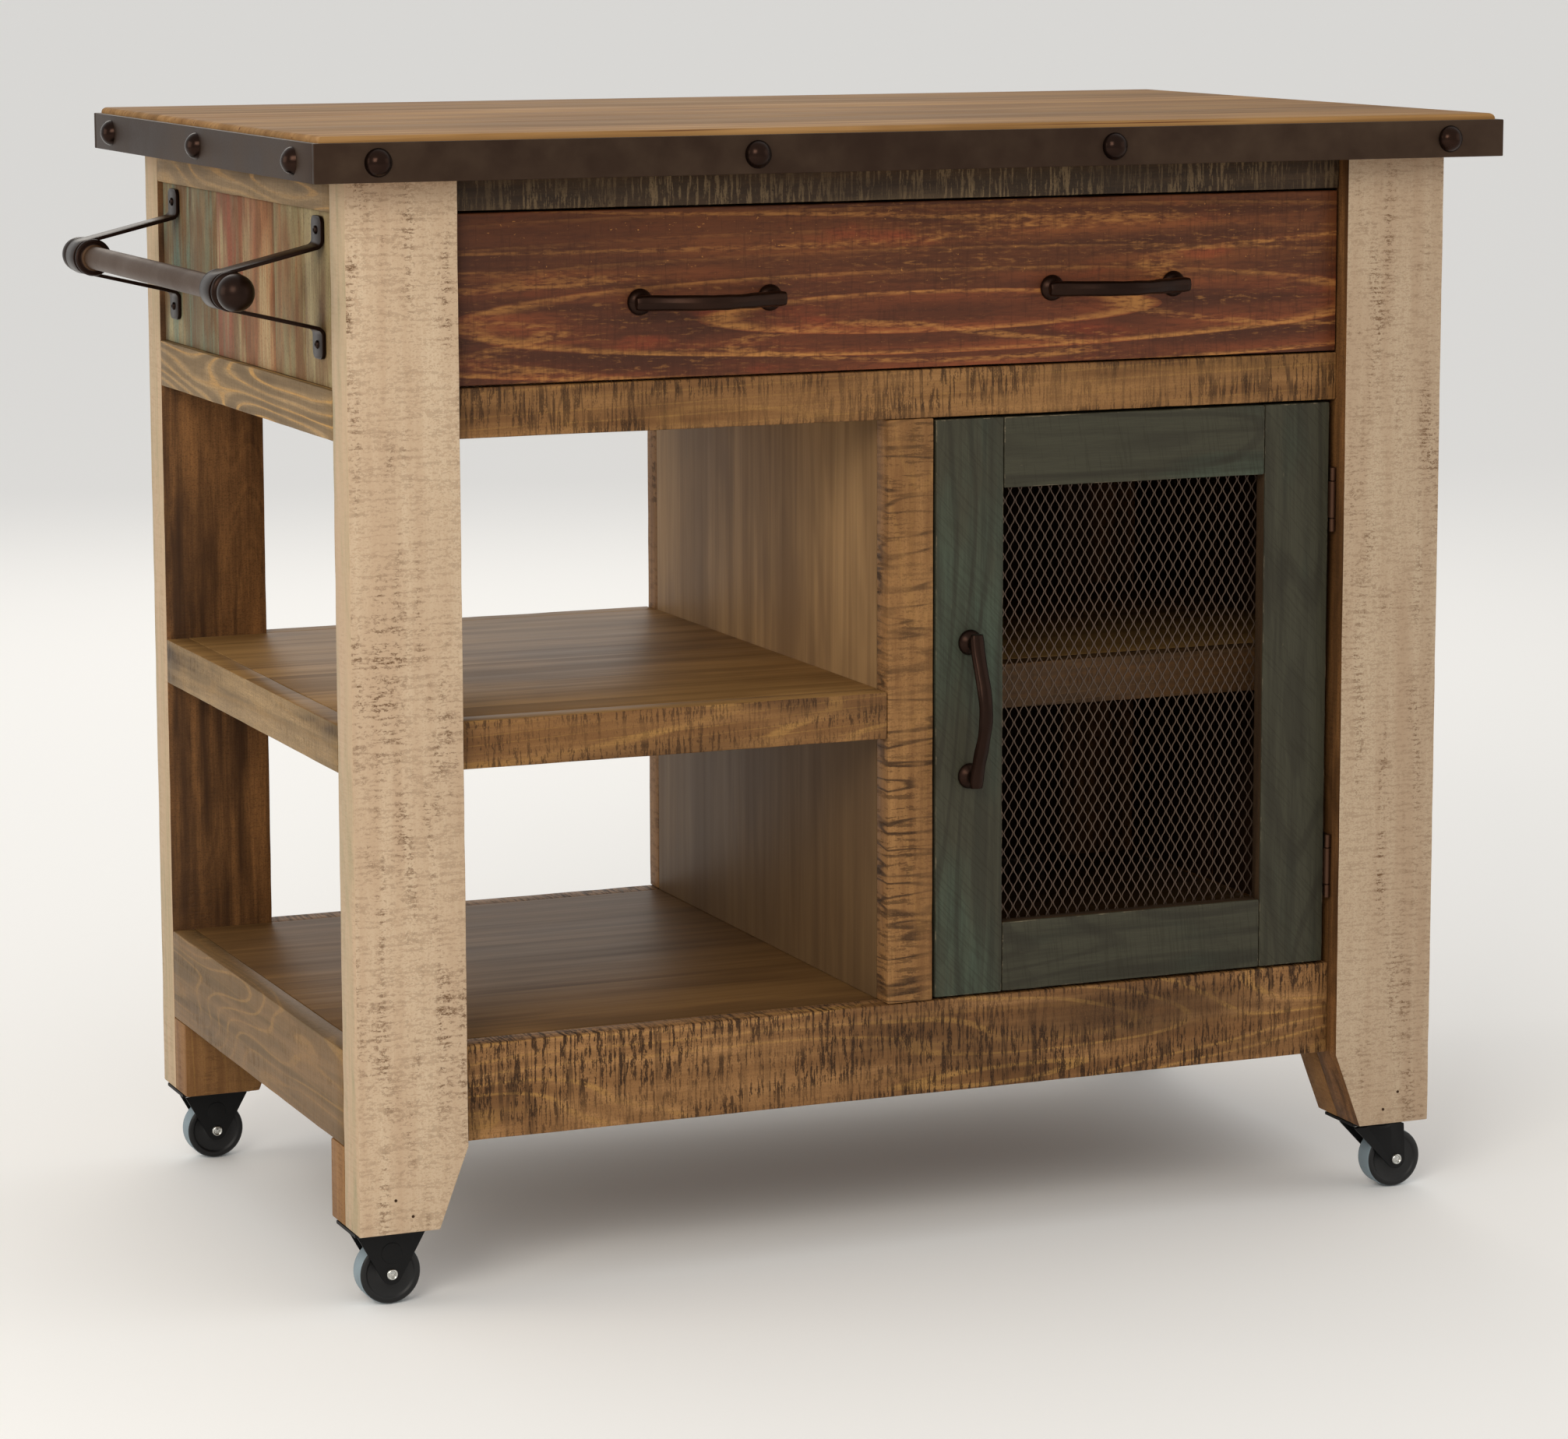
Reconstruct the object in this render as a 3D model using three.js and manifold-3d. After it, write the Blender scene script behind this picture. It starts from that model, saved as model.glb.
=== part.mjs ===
// Kitchen island cart: a plank worktop in a riveted steel band on four whitewashed leg boards, with a
// full-width drawer, an open bay with a shelf, a cabinet with a mesh door, a towel bar on the left end
// and four plate casters, rigid on the left and swivelling on the right.
// Millimetres, +Z up, front towards -Y. The origin is under the middle of the cart, on the floor.
import * as THREE from "three";
import { mergeVertices } from "three/addons/utils/BufferGeometryUtils.js";
import Module from "manifold-3d";

const wasm = await Module();
wasm.setup();

// Overall sizes, over the steel band.
const width = 1016;
const depth = 635;
const height = 914;

// Worktop and its band.
const bandHeight = 30;
const bandThickness = 5;
const topProud = 5; // the wood stands this far above the band
const topInset = 2; // the raised edge stands back this far from the band
const rivetRadius = 11;
const rivetHeight = 9;
const rivetSink = 0.2; // the dome's flat side lies this far inside the bar
const rivetEndFront = 50; // first rivet to the band's end, on the front and back
const rivetEndSide = 55; // and on the two ends
const rivetsFront = 4;
const rivetsSide = 3;

// Legs: a board with a block glued behind its foot, the inner lower edge cut away.
const overhangX = 34; // band to leg
const overhangY = 36;
const legWidth = 90;
const legThickness = 38;
const footBlockDepth = 34;
const footHeight = 63; // floor to the sole of the foot, which is the height of a caster
const taperInset = 24;

// Carcass.
const faceRecess = 15; // the carcass face stands back from the legs' faces
const sideRailThickness = 20;
const topRailHeight = 26;
const drawerOpening = 135;
const midRailHeight = 39;
const deckTop = 204;
const deckRailHeight = 77;
const shelfRise = 256; // deck to the top of the shelf
const shelfEdge = 38;
const boardThickness = 18;
const dividerThickness = 20;
const stileWidth = 40;
const cabinetOpening = 365; // clear width of the doorway
const plankThickness = 12;
const plankRecess = 5;
const cabinetShelfSetback = 98;

// Drawer.
const frontThickness = 20;
const drawerGap = 1.5;
const drawerSideThickness = 12;
const drawerBottomThickness = 6;
const drawerSideHeight = 100;
const drawerFloorLift = 8; // mid rail to the underside of the drawer box
const drawerGroove = 8; // the drawer's bottom stands this far above the sides' lower edge
const drawerBackClearance = 62; // drawer box to the back frame
const slideWidth = 12.4;
const slideHeight = 34;
const slideSteel = 1.2;
const slidePlay = 0.5;
const slideNeck = 6; // height of the runner's neck
const slideLift = 10; // the slide's lower edge above the drawer box's underside

// Door.
const doorGap = 2;
const hingeGap = 6;
const doorStileWidth = 60;
const doorRailHeight = 57.5;
const meshThickness = 1.5;
const meshRebate = 6;
const meshRebateDepth = 5;
const hingeInset = 81; // door's end to the middle of the hinge
const barrelRadius = 2.6;
const pinRadius = 1.2;
const pinPlay = 0.3;
const longKnuckle = 30.5;
const shortKnuckle = 11;
const knucklePlay = 0.5;
const leafThickness = 1.5;
const leafWidth = 16;

// Pulls.
const pullFeet = 109; // between the feet
const pullLength = 127;
const pullFootRadius = 10.5;
const pullFootHeight = 6;
const pullPostRadius = 5;
const pullBarRadius = 6; // half the bar's height
const pullBarDepth = 9; // the bar is thinner from front to back
const pullEndReach = 14; // face to the middle of the bar at its ends
const pullMidReach = 32; // and half-way along
const drawerPullSpacing = 354;
const drawerPullDrop = 6; // below the middle of the drawer front

// Magnet catch.
const catchWidth = 44;
const catchDepth = 12;
const catchHeight = 42;
const catchDrop = 14; // how far it hangs into the doorway
const catchInset = 12;

// Towel bar, on the left end.
const towelReach = 37; // band to the middle of the bar
const towelBarRadius = 9.5;
const towelRingRadius = 15.5;
const towelGrooveRadius = 13;
const towelRingWidth = 6;
const towelBallRadius = 14.5;
const towelBallOffset = 11; // ring face to the ball's centre
const strapWidth = 25;
const strapThickness = 3;
const strapInset = 40; // leg board to the middle of the strap
const strapPlate = 22;
const strapTopDrop = 4; // the upper plate's top below the top rail
const strapFootRise = 21; // the lower plate's foot above the mid rail
const strapPlay = 0.3;

// Casters.
const wheelRadius = 25;
const wheelWidth = 20;
const wheelBore = 3.4;
const wheelDishRadius = 19;
const wheelDish = 1.5;
const wheelShoulder = 3;
const axleRadius = 3;
const axleHeadRadius = 4;
const axleHeadHeight = 2;
const plateLength = 66;
const plateWidth = 48;
const plateThickness = 2.5;
const cheekThickness = 2;
const cheekPlay = 1.5; // wheel to cheek
const hubLobe = 8.5;
const trail = 16; // swivel axis to axle
const raceRadius = 17;
const raceHeight = 3.2;
const crownThickness = 2.6;
const kingpinRadius = 4;
const kingpinHead = 7;
const kingpinHeadHeight = 1.8;
const swivelPlay = 0.4;

// Clearance between pieces that are glued, nailed or screwed together.
const seam = 0.3;
// The parts that make up one solid run this far into each other.
const lap = 1;

// ---- Places worked out from the sizes ----

const bandX = width / 2;
const bandY = depth / 2;
const topUnderside = height - topProud - bandHeight;
const bandTop = height - topProud;
const legOuterX = bandX - overhangX;
const legInnerX = legOuterX - legWidth;
const legOuterY = bandY - overhangY;
const legInnerY = legOuterY - legThickness;
const faceY = legOuterY - faceRecess;
const railThickness = faceY - legInnerY;
const sideInnerX = legOuterX - sideRailThickness;
const deckBottom = deckTop - deckRailHeight;
const topRailBottom = topUnderside - topRailHeight;
const midRailTop = topRailBottom - drawerOpening;
const midRailBottom = midRailTop - midRailHeight;
const shelfTop = deckTop + shelfRise;
const shelfBottom = shelfTop - shelfEdge;
const cabinetLeftX = legInnerX - cabinetOpening;
const stileLeftX = cabinetLeftX - stileWidth;
const dividerRightX = stileLeftX + dividerThickness;
const plankOuterX = legOuterX - plankRecess;
const plankInnerX = plankOuterX - plankThickness;
const plankOuterY = faceY - plankRecess;
const plankInnerY = plankOuterY - plankThickness;
const strapSpan = drawerOpening - strapTopDrop - strapFootRise;

// ---- Materials ----

const finish = (color, roughness, metalness = 0) =>
  new THREE.MeshStandardMaterial({ color, roughness, metalness });
const whitewash = finish(0xc9ab82, 0.7);
const amber = finish(0x8a5e34, 0.6);
const honeyTop = finish(0x94704a, 0.4);
const satinBrown = finish(0x5f4428, 0.4);
const redStain = finish(0x7a3a22, 0.55);
const tealPaint = finish(0x4a5f58, 0.6);
const planks = finish(0x8c8262, 0.65);
const bareWood = finish(0xb08d5e, 0.7);
const bronze = finish(0x33291f, 0.45, 0.8);
const zinc = finish(0xb8b8b4, 0.35, 1);
const blackSteel = finish(0x1c1c1d, 0.5, 0.6);
const rubberGrey = finish(0x55606a, 0.8);

// ---- Shapes ----

// A closed three.js geometry as a solid for cutting and joining.
function solid(geometry) {
  const bare = geometry.clone();
  bare.deleteAttribute("normal");
  bare.deleteAttribute("uv");
  const merged = mergeVertices(bare, 1e-4);
  const triVerts = new Uint32Array(merged.index.array);
  return new wasm.Manifold(
    new wasm.Mesh({
      numProp: 3,
      vertProperties: merged.attributes.position.array,
      triVerts,
    }),
  );
}

const joined = (...solids) => solids.reduce((a, b) => a.add(b));

// A solid back as a three.js geometry.
function geometryOf(made) {
  const mesh = made.getMesh();
  const count = mesh.numProp;
  const positions = new Float32Array(mesh.numVert * 3);
  for (let i = 0; i < mesh.numVert; i++)
    positions.set(mesh.vertProperties.subarray(i * count, i * count + 3), i * 3);
  const geometry = new THREE.BufferGeometry();
  geometry.setAttribute("position", new THREE.BufferAttribute(positions, 3));
  geometry.setIndex(new THREE.BufferAttribute(new Uint32Array(mesh.triVerts), 1));
  geometry.computeVertexNormals();
  return geometry;
}

// A box from its two ends along each axis.
function box([x0, x1], [y0, y1], [z0, z1]) {
  const geometry = new THREE.BoxGeometry(
    Math.abs(x1 - x0),
    Math.abs(y1 - y0),
    Math.abs(z1 - z0),
  );
  return solid(geometry.translate((x0 + x1) / 2, (y0 + y1) / 2, (z0 + z1) / 2));
}

// A cylinder round one axis ("x", "y" or "z") through a point, from a to b along that axis.
function rod(axis, [x, y, z], a, b, radius, sides = 24) {
  const geometry = new THREE.CylinderGeometry(radius, radius, b - a, sides);
  const middle = (a + b) / 2;
  if (axis === "x") geometry.rotateZ(-Math.PI / 2).translate(middle, y, z);
  if (axis === "y") geometry.translate(x, middle, z);
  if (axis === "z") geometry.rotateX(Math.PI / 2).translate(x, y, middle);
  return solid(geometry);
}

// A flat outline drawn in X and Z, pushed along Y from y0 to y1.
function plateXZ(shape, y0, y1, curveSegments = 8) {
  const geometry = new THREE.ExtrudeGeometry(shape, {
    depth: y1 - y0,
    bevelEnabled: false,
    curveSegments,
  });
  return solid(geometry.rotateX(Math.PI / 2).translate(0, y1, 0));
}

const polygon = (points) =>
  new THREE.Shape(points.map(([a, b]) => new THREE.Vector2(a, b)));

// A domed head lathed about +Z, standing on z = 0.
function dome(radius, domeHeight, rings = 4, sides = 16) {
  const sphere = (radius * radius + domeHeight * domeHeight) / (2 * domeHeight);
  const reach = Math.asin(Math.min(1, radius / sphere));
  const full = domeHeight > radius ? Math.PI - reach : reach;
  const points = [new THREE.Vector2(0, 0)];
  for (let i = 0; i <= rings; i++) {
    const angle = full * (1 - i / rings);
    points.push(
      new THREE.Vector2(
        i === rings ? 0 : sphere * Math.sin(angle),
        domeHeight - sphere + sphere * Math.cos(angle),
      ),
    );
  }
  return new THREE.LatheGeometry(points, sides).rotateX(Math.PI / 2);
}

const cart = new THREE.Group();

function add(name, made, material, parent = cart) {
  const mesh = new THREE.Mesh(geometryOf(made), material);
  mesh.name = name;
  parent.add(mesh);
  return mesh;
}

// ---- Worktop and band ----

const woodX = bandX - bandThickness - seam;
const woodY = bandY - bandThickness - seam;

// The raised edge is a stack of three steps that round it over.
function worktop() {
  const steps = [
    [0, topProud * 0.35],
    [topProud * 0.18, topProud * 0.7],
    [topProud * 0.5, topProud],
  ];
  const raised = steps.map(([back, up]) =>
    box(
      [topInset + back - woodX, woodX - topInset - back],
      [topInset + back - woodY, woodY - topInset - back],
      [bandTop - lap, bandTop + up],
    ),
  );
  return joined(box([-woodX, woodX], [-woodY, woodY], [topUnderside, bandTop]), ...raised);
}
add("worktop", worktop(), honeyTop);

// Rivet places along a band of the given length, the first and last at a set distance from the ends.
function rivetPlaces(length, end, count) {
  const pitch = (length - 2 * end) / (count - 1);
  return Array.from({ length: count }, (_, i) => end + i * pitch - length / 2);
}

const bandMiddle = topUnderside + bandHeight / 2;

function longBand(side) {
  const bar = box(
    [-bandX, bandX],
    [side * (bandY - bandThickness), side * bandY],
    [topUnderside, bandTop],
  );
  const headY = side * (bandY - rivetSink);
  const heads = rivetPlaces(width, rivetEndFront, rivetsFront).map((x) => {
    const head = dome(rivetRadius, rivetHeight).rotateX((-side * Math.PI) / 2);
    return solid(head.translate(x, headY, bandMiddle));
  });
  return joined(bar, ...heads);
}

function endBand(side) {
  const reach = bandY - bandThickness - seam;
  const bar = box(
    [side * (bandX - bandThickness), side * bandX],
    [-reach, reach],
    [topUnderside, bandTop],
  );
  const headX = side * (bandX - rivetSink);
  const heads = rivetPlaces(depth, rivetEndSide, rivetsSide).map((y) => {
    const head = dome(rivetRadius, rivetHeight).rotateY((side * Math.PI) / 2);
    return solid(head.translate(headX, y, bandMiddle));
  });
  return joined(bar, ...heads);
}
add("band_front", longBand(-1), bronze);
add("band_back", longBand(1), bronze);
add("band_left", endBand(-1), bronze);
add("band_right", endBand(1), bronze);

// ---- Legs ----

// The outline of a leg board from the front, for the left side; the foot narrows below the deck rail.
function legBoard(sideX, y0, y1) {
  const topZ = topUnderside - seam;
  const outline = [
    [-legOuterX, footHeight],
    [-legInnerX - taperInset, footHeight],
    [-legInnerX, deckBottom],
    [-legInnerX, topZ],
    [-legOuterX, topZ],
  ];
  const turned = sideX < 0 ? outline : outline.map(([x, z]) => [-x, z]).reverse();
  return plateXZ(polygon(turned), y0, y1);
}

function leg(sideX, sideY) {
  const boardEnds = sideY < 0 ? [-legOuterY, -legInnerY] : [legInnerY, legOuterY];
  const blockInner = legInnerY - footBlockDepth;
  const blockEnds = sideY < 0 ? [-legInnerY - lap, -blockInner] : [blockInner, legInnerY + lap];
  const underRail = box([-bandX, bandX], blockEnds, [0, deckBottom - seam]);
  const board = legBoard(sideX, ...boardEnds);
  const block = legBoard(sideX, ...blockEnds).intersect(underRail);
  return joined(board, block);
}
add("leg_front_left", leg(-1, -1), whitewash);
add("leg_front_right", leg(1, -1), whitewash);
add("leg_back_left", leg(-1, 1), whitewash);
add("leg_back_right", leg(1, 1), whitewash);

// ---- Rails, panels and shelves ----

const betweenLegsX = [seam - legInnerX, legInnerX - seam];
const betweenLegsY = [seam - legInnerY, legInnerY - seam];
const frontDepth = [-faceY, -faceY + railThickness];
const backDepth = [faceY - railThickness, faceY];
const topRailZ = [topRailBottom, topUnderside - seam];
const midRailZ = [midRailBottom, midRailTop];
const deckRailZ = [deckBottom, deckTop];
const stileX = [stileLeftX, cabinetLeftX];
const stileZ = [deckTop + seam, midRailBottom - seam];

add("rail_front_top", box(betweenLegsX, frontDepth, topRailZ), amber);
add("rail_front_mid", box(betweenLegsX, frontDepth, midRailZ), amber);
add("rail_front_deck", box(betweenLegsX, frontDepth, deckRailZ), amber);
add("stile_front", box(stileX, frontDepth, stileZ), amber);

const leftRailX = [-legOuterX, -sideInnerX];
add("rail_left_top", box(leftRailX, betweenLegsY, topRailZ), amber);
add("rail_left_mid", box(leftRailX, betweenLegsY, midRailZ), amber);
add("rail_left_deck", box(leftRailX, betweenLegsY, deckRailZ), amber);
add(
  "panel_left",
  box([-plankOuterX, -plankInnerX], betweenLegsY, [midRailTop + seam, topRailBottom - seam]),
  planks,
);

// The right end is one glued frame: two rails with planks let in above and below the lower one.
const rightRailX = [sideInnerX, legOuterX];
const rightPlankX = [plankInnerX, plankOuterX];
add(
  "end_frame_right",
  joined(
    box(rightRailX, betweenLegsY, topRailZ),
    box(rightRailX, betweenLegsY, midRailZ),
    box(rightPlankX, betweenLegsY, [deckTop + seam, topRailBottom + lap]),
  ),
  planks,
);
add("rail_right_deck", box(rightRailX, betweenLegsY, deckRailZ), amber);

// The back frame closes the drawer's space and the cabinet, and leaves the bay open.
const backPlankY = [plankInnerY, plankOuterY];
add(
  "back_frame",
  joined(
    box(betweenLegsX, backDepth, topRailZ),
    box(betweenLegsX, backDepth, midRailZ),
    box(stileX, backDepth, [deckTop + seam, midRailBottom + lap]),
    box(betweenLegsX, backPlankY, [midRailTop - lap, topRailBottom + lap]),
    box([stileLeftX + lap, legInnerX - seam], backPlankY, [deckTop + seam, midRailBottom + lap]),
  ),
  planks,
);
add("rail_back_deck", box(betweenLegsX, backDepth, deckRailZ), amber);

// The shelf is a board with a deeper edging on its three open sides.
const shelfLipX = [seam - legInnerX, stileLeftX - seam];
const shelfZ = [shelfBottom, shelfTop];
add(
  "shelf_mid",
  joined(
    box([-sideInnerX - lap, stileLeftX - seam], betweenLegsY, [shelfTop - boardThickness, shelfTop]),
    box(leftRailX, betweenLegsY, shelfZ),
    box(shelfLipX, [frontDepth[0], frontDepth[1] + lap], shelfZ),
    box(shelfLipX, [backDepth[0] - lap, backDepth[1]], shelfZ),
  ),
  satinBrown,
);
add(
  "deck_board",
  box([seam - sideInnerX, sideInnerX - seam], betweenLegsY, [deckTop - boardThickness, deckTop]),
  satinBrown,
);
add(
  "divider",
  box([stileLeftX, dividerRightX], betweenLegsY, [deckTop + seam, midRailTop]),
  satinBrown,
);
const cabinetX = [dividerRightX + seam, plankInnerX - seam];
const cabinetShelfFront = cabinetShelfSetback - faceY;
add(
  "cabinet_shelf",
  joined(
    box(cabinetX, [cabinetShelfFront, legInnerY - seam], [shelfTop - boardThickness, shelfTop]),
    box(cabinetX, [cabinetShelfFront, cabinetShelfFront + railThickness], shelfZ),
  ),
  satinBrown,
);

// ---- Drawer and slides ----

const drawerFrontX = [drawerGap - legInnerX, legInnerX - drawerGap];
const drawerFrontZ = [midRailTop + drawerGap, topRailBottom - drawerGap];
const drawerFrontBack = -faceY + frontThickness;
const drawerBoxX = legInnerX - slideWidth - seam;
const drawerBoxBack = faceY - railThickness - drawerBackClearance;
const drawerBoxZ = [midRailTop + drawerFloorLift, midRailTop + drawerFloorLift + drawerSideHeight];
const drawerInsideX = drawerBoxX - drawerSideThickness;
add("drawer_front", box(drawerFrontX, [-faceY, drawerFrontBack], drawerFrontZ), redStain);
for (const [name, side] of [["left", -1], ["right", 1]]) {
  add(
    `drawer_side_${name}`,
    box([side * drawerInsideX, side * drawerBoxX], [drawerFrontBack + seam, drawerBoxBack], drawerBoxZ),
    bareWood,
  );
}
const drawerAcross = [seam - drawerInsideX, drawerInsideX - seam];
add(
  "drawer_back",
  box(drawerAcross, [drawerBoxBack - drawerSideThickness, drawerBoxBack], drawerBoxZ),
  bareWood,
);
const drawerFloor = drawerBoxZ[0] + drawerGroove;
add(
  "drawer_bottom",
  box(
    drawerAcross,
    [drawerFrontBack + seam, drawerBoxBack - drawerSideThickness - seam],
    [drawerFloor, drawerFloor + drawerBottomThickness],
  ),
  bareWood,
);

const slideZ = drawerBoxZ[0] + slideLift;
const slideFront = drawerFrontBack + seam;
// A slide is a channel on the legs with a T-shaped runner on the drawer's side in it.
for (const [name, side] of [["left", -1], ["right", 1]]) {
  const outer = legInnerX - seam;
  const webX = [side * (outer - slideSteel), side * outer];
  const mouth = drawerBoxX + slideSteel + slidePlay;
  const flangeX = [side * mouth, side * outer];
  const runnerOuter = outer - slideSteel - slidePlay;
  const railY = [slideFront, plankInnerY - seam];
  add(
    `slide_rail_${name}`,
    joined(
      box(webX, railY, [slideZ, slideZ + slideHeight]),
      box(flangeX, railY, [slideZ, slideZ + slideSteel]),
      box(flangeX, railY, [slideZ + slideHeight - slideSteel, slideZ + slideHeight]),
    ),
    zinc,
  );
  const tongue = slideHeight / 2 - slideSteel - slidePlay * 2;
  const middle = slideZ + slideHeight / 2;
  const runnerY = [slideFront, drawerBoxBack];
  const runnerInner = drawerBoxX + seam;
  const halfNeck = slideNeck / 2;
  add(
    `slide_runner_${name}`,
    joined(
      box(
        [side * runnerInner, side * (drawerBoxX + slideSteel)],
        runnerY,
        [slideZ, slideZ + slideHeight],
      ),
      box([side * runnerInner, side * runnerOuter], runnerY, [middle - halfNeck, middle + halfNeck]),
      box(
        [side * (runnerOuter - slideSteel), side * runnerOuter],
        runnerY,
        [middle - tongue, middle + tongue],
      ),
    ),
    zinc,
  );
}

// ---- Pulls ----

// A cast pull lies along X in front of the plane y = 0: a bowed bar on two posts with domed roses.
function pull() {
  const half = pullLength / 2;
  const reachAt = (t) => pullEndReach + (pullMidReach - pullEndReach) * Math.cos((t * Math.PI) / 2) ** 2;
  const points = [];
  for (let i = 0; i <= 12; i++) {
    const t = i / 6 - 1;
    points.push(new THREE.Vector3(t * half, -reachAt(t), 0));
  }
  const section = new THREE.Shape();
  section.absellipse(0, 0, pullBarDepth / 2, pullBarRadius, 0, 2 * Math.PI);
  const bar = new THREE.ExtrudeGeometry(section, {
    steps: 16,
    curveSegments: 5,
    extrudePath: new THREE.CatmullRomCurve3(points),
  });
  const feet = [-1, 1].flatMap((side) => {
    const x = (side * pullFeet) / 2;
    const reach = reachAt(x / half);
    return [
      rod("y", [x, 0, 0], -reach, -lap, pullPostRadius, 12),
      solid(dome(pullFootRadius, pullFootHeight, 4, 20).rotateX(Math.PI / 2).translate(x, -seam, 0)),
    ];
  });
  return joined(solid(bar), ...feet);
}

const drawerPullZ = (drawerFrontZ[0] + drawerFrontZ[1]) / 2 - drawerPullDrop;
for (const [name, side] of [["left", -1], ["right", 1]]) {
  const mesh = add(`drawer_pull_${name}`, pull(), bronze);
  mesh.position.set((side * drawerPullSpacing) / 2, -faceY, drawerPullZ);
}

// ---- Door ----

const doorX = [cabinetLeftX + doorGap, legInnerX - hingeGap];
const doorZ = [deckTop + doorGap, midRailBottom - doorGap];
const doorY = [-faceY, -faceY + frontThickness];
const doorMeshX = [doorX[0] + doorStileWidth, doorX[1] - doorStileWidth];
const doorMeshZ = [doorZ[0] + doorRailHeight, doorZ[1] - doorRailHeight];
const rebate = box(
  [doorMeshX[0] - meshRebate, doorMeshX[1] + meshRebate],
  [doorY[1] - meshRebateDepth, doorY[1] + lap],
  [doorMeshZ[0] - meshRebate, doorMeshZ[1] + meshRebate],
);
const doorMember = (x, z) => box(x, doorY, z).subtract(rebate);
const doorRailX = [doorMeshX[0] + seam, doorMeshX[1] - seam];
add("door_stile_left", doorMember([doorX[0], doorMeshX[0]], doorZ), tealPaint);
add("door_stile_right", doorMember([doorMeshX[1], doorX[1]], doorZ), tealPaint);
add("door_rail_top", doorMember(doorRailX, [doorMeshZ[1], doorZ[1]]), tealPaint);
add("door_rail_bottom", doorMember(doorRailX, [doorZ[0], doorMeshZ[0]]), tealPaint);
const meshEdge = meshRebate - seam;
const meshFront = doorY[1] - meshRebateDepth + seam;
add(
  "door_mesh",
  box(
    [doorMeshX[0] - meshEdge, doorMeshX[1] + meshEdge],
    [meshFront, meshFront + meshThickness],
    [doorMeshZ[0] - meshEdge, doorMeshZ[1] + meshEdge],
  ),
  bronze,
);

const doorPull = add("door_pull", pull(), bronze);
doorPull.rotation.y = Math.PI / 2;
doorPull.position.set((doorX[0] + doorMeshX[0]) / 2, -faceY, (doorZ[0] + doorZ[1]) / 2);

// The hinge barrel stands in the gap beside the door, just proud of its face.
const hingeX = legInnerX - hingeGap / 2;
const hingeY = -faceY - 1;

function doorLeaf(z) {
  const knuckle = rod("z", [hingeX, hingeY, 0], z - longKnuckle / 2, z + longKnuckle / 2, barrelRadius, 20);
  const bore = rod("z", [hingeX, hingeY, 0], z - longKnuckle, z + longKnuckle, pinRadius + pinPlay, 20);
  const leafX = [doorX[1] + seam, doorX[1] + leafThickness];
  const leafY = [hingeY, hingeY + leafWidth + barrelRadius];
  const leaf = box(leafX, leafY, [z - longKnuckle / 2, z + longKnuckle / 2]);
  return joined(knuckle, leaf).subtract(bore);
}

function frameLeaf(z) {
  const reach = longKnuckle / 2 + knucklePlay + shortKnuckle;
  const knuckles = [-1, 1].map((side) => {
    const ends = [side * (longKnuckle / 2 + knucklePlay), side * reach].sort((a, b) => a - b);
    const shell = rod("z", [hingeX, hingeY, 0], z + ends[0], z + ends[1], barrelRadius, 20);
    const tab = box(
      [legInnerX - leafThickness, legInnerX - seam],
      [hingeY, hingeY + leafWidth],
      [z + ends[0], z + ends[1]],
    );
    return joined(shell, tab);
  });
  const pin = rod("z", [hingeX, hingeY, 0], z - reach + lap, z + reach - lap, pinRadius, 16);
  const leafY = [hingeY + barrelRadius + knucklePlay, hingeY + leafWidth + barrelRadius];
  const leaf = box([legInnerX - leafThickness, legInnerX - seam], leafY, [z - reach, z + reach]);
  return joined(...knuckles, pin, leaf);
}

for (const [name, z] of [["upper", doorZ[1] - hingeInset], ["lower", doorZ[0] + hingeInset]]) {
  add(`hinge_leaf_${name}_door`, doorLeaf(z), bronze);
  add(`hinge_leaf_${name}_frame`, frameLeaf(z), bronze);
}

const catchX = [doorX[0] + catchInset, doorX[0] + catchInset + catchWidth];
const catchFront = doorY[0] + railThickness + seam;
add(
  "magnet_catch",
  box(
    catchX,
    [catchFront, catchFront + catchDepth],
    [midRailBottom - catchDrop, midRailBottom - catchDrop + catchHeight],
  ),
  blackSteel,
);

// ---- Towel bar ----

const towelX = -bandX - towelReach;
const strapZ = [topRailBottom - strapTopDrop - strapSpan, topRailBottom - strapTopDrop];
const towelZ = (strapZ[0] + strapZ[1]) / 2;
const strapY = legInnerY - strapInset;

// Half of the bar's profile runs from the middle out to the tip of the ball; the other half mirrors it.
function towelBar() {
  const groove = strapWidth / 2 + strapPlay;
  const ring = groove + towelRingWidth;
  const ballCentre = ring + towelBallOffset;
  const neck = Math.sqrt(towelBallRadius ** 2 - towelBallOffset ** 2);
  const start = Math.acos(-towelBallOffset / towelBallRadius);
  const half = [
    [towelBarRadius, strapY - ring],
    [towelRingRadius - 1.5, strapY - ring],
    [towelRingRadius, strapY - ring + 1.5],
    [towelRingRadius, strapY - groove],
    [towelGrooveRadius, strapY - groove],
    [towelGrooveRadius, strapY + groove],
    [towelRingRadius, strapY + groove],
    [towelRingRadius, strapY + ring - 1.5],
    [towelRingRadius - 1.5, strapY + ring],
    [neck, strapY + ring],
  ];
  const rings = 8;
  for (let i = 1; i <= rings; i++) {
    const angle = start * (1 - i / rings);
    half.push([
      i === rings ? 0 : towelBallRadius * Math.sin(angle),
      strapY + ballCentre + towelBallRadius * Math.cos(angle),
    ]);
  }
  const profile = [...half.map(([r, y]) => [r, -y]).reverse(), ...half];
  return solid(
    new THREE.LatheGeometry(profile.map(([r, y]) => new THREE.Vector2(r, y)), 24),
  ).translate(towelX, 0, towelZ);
}
add("towel_bar", towelBar(), bronze);

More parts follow.
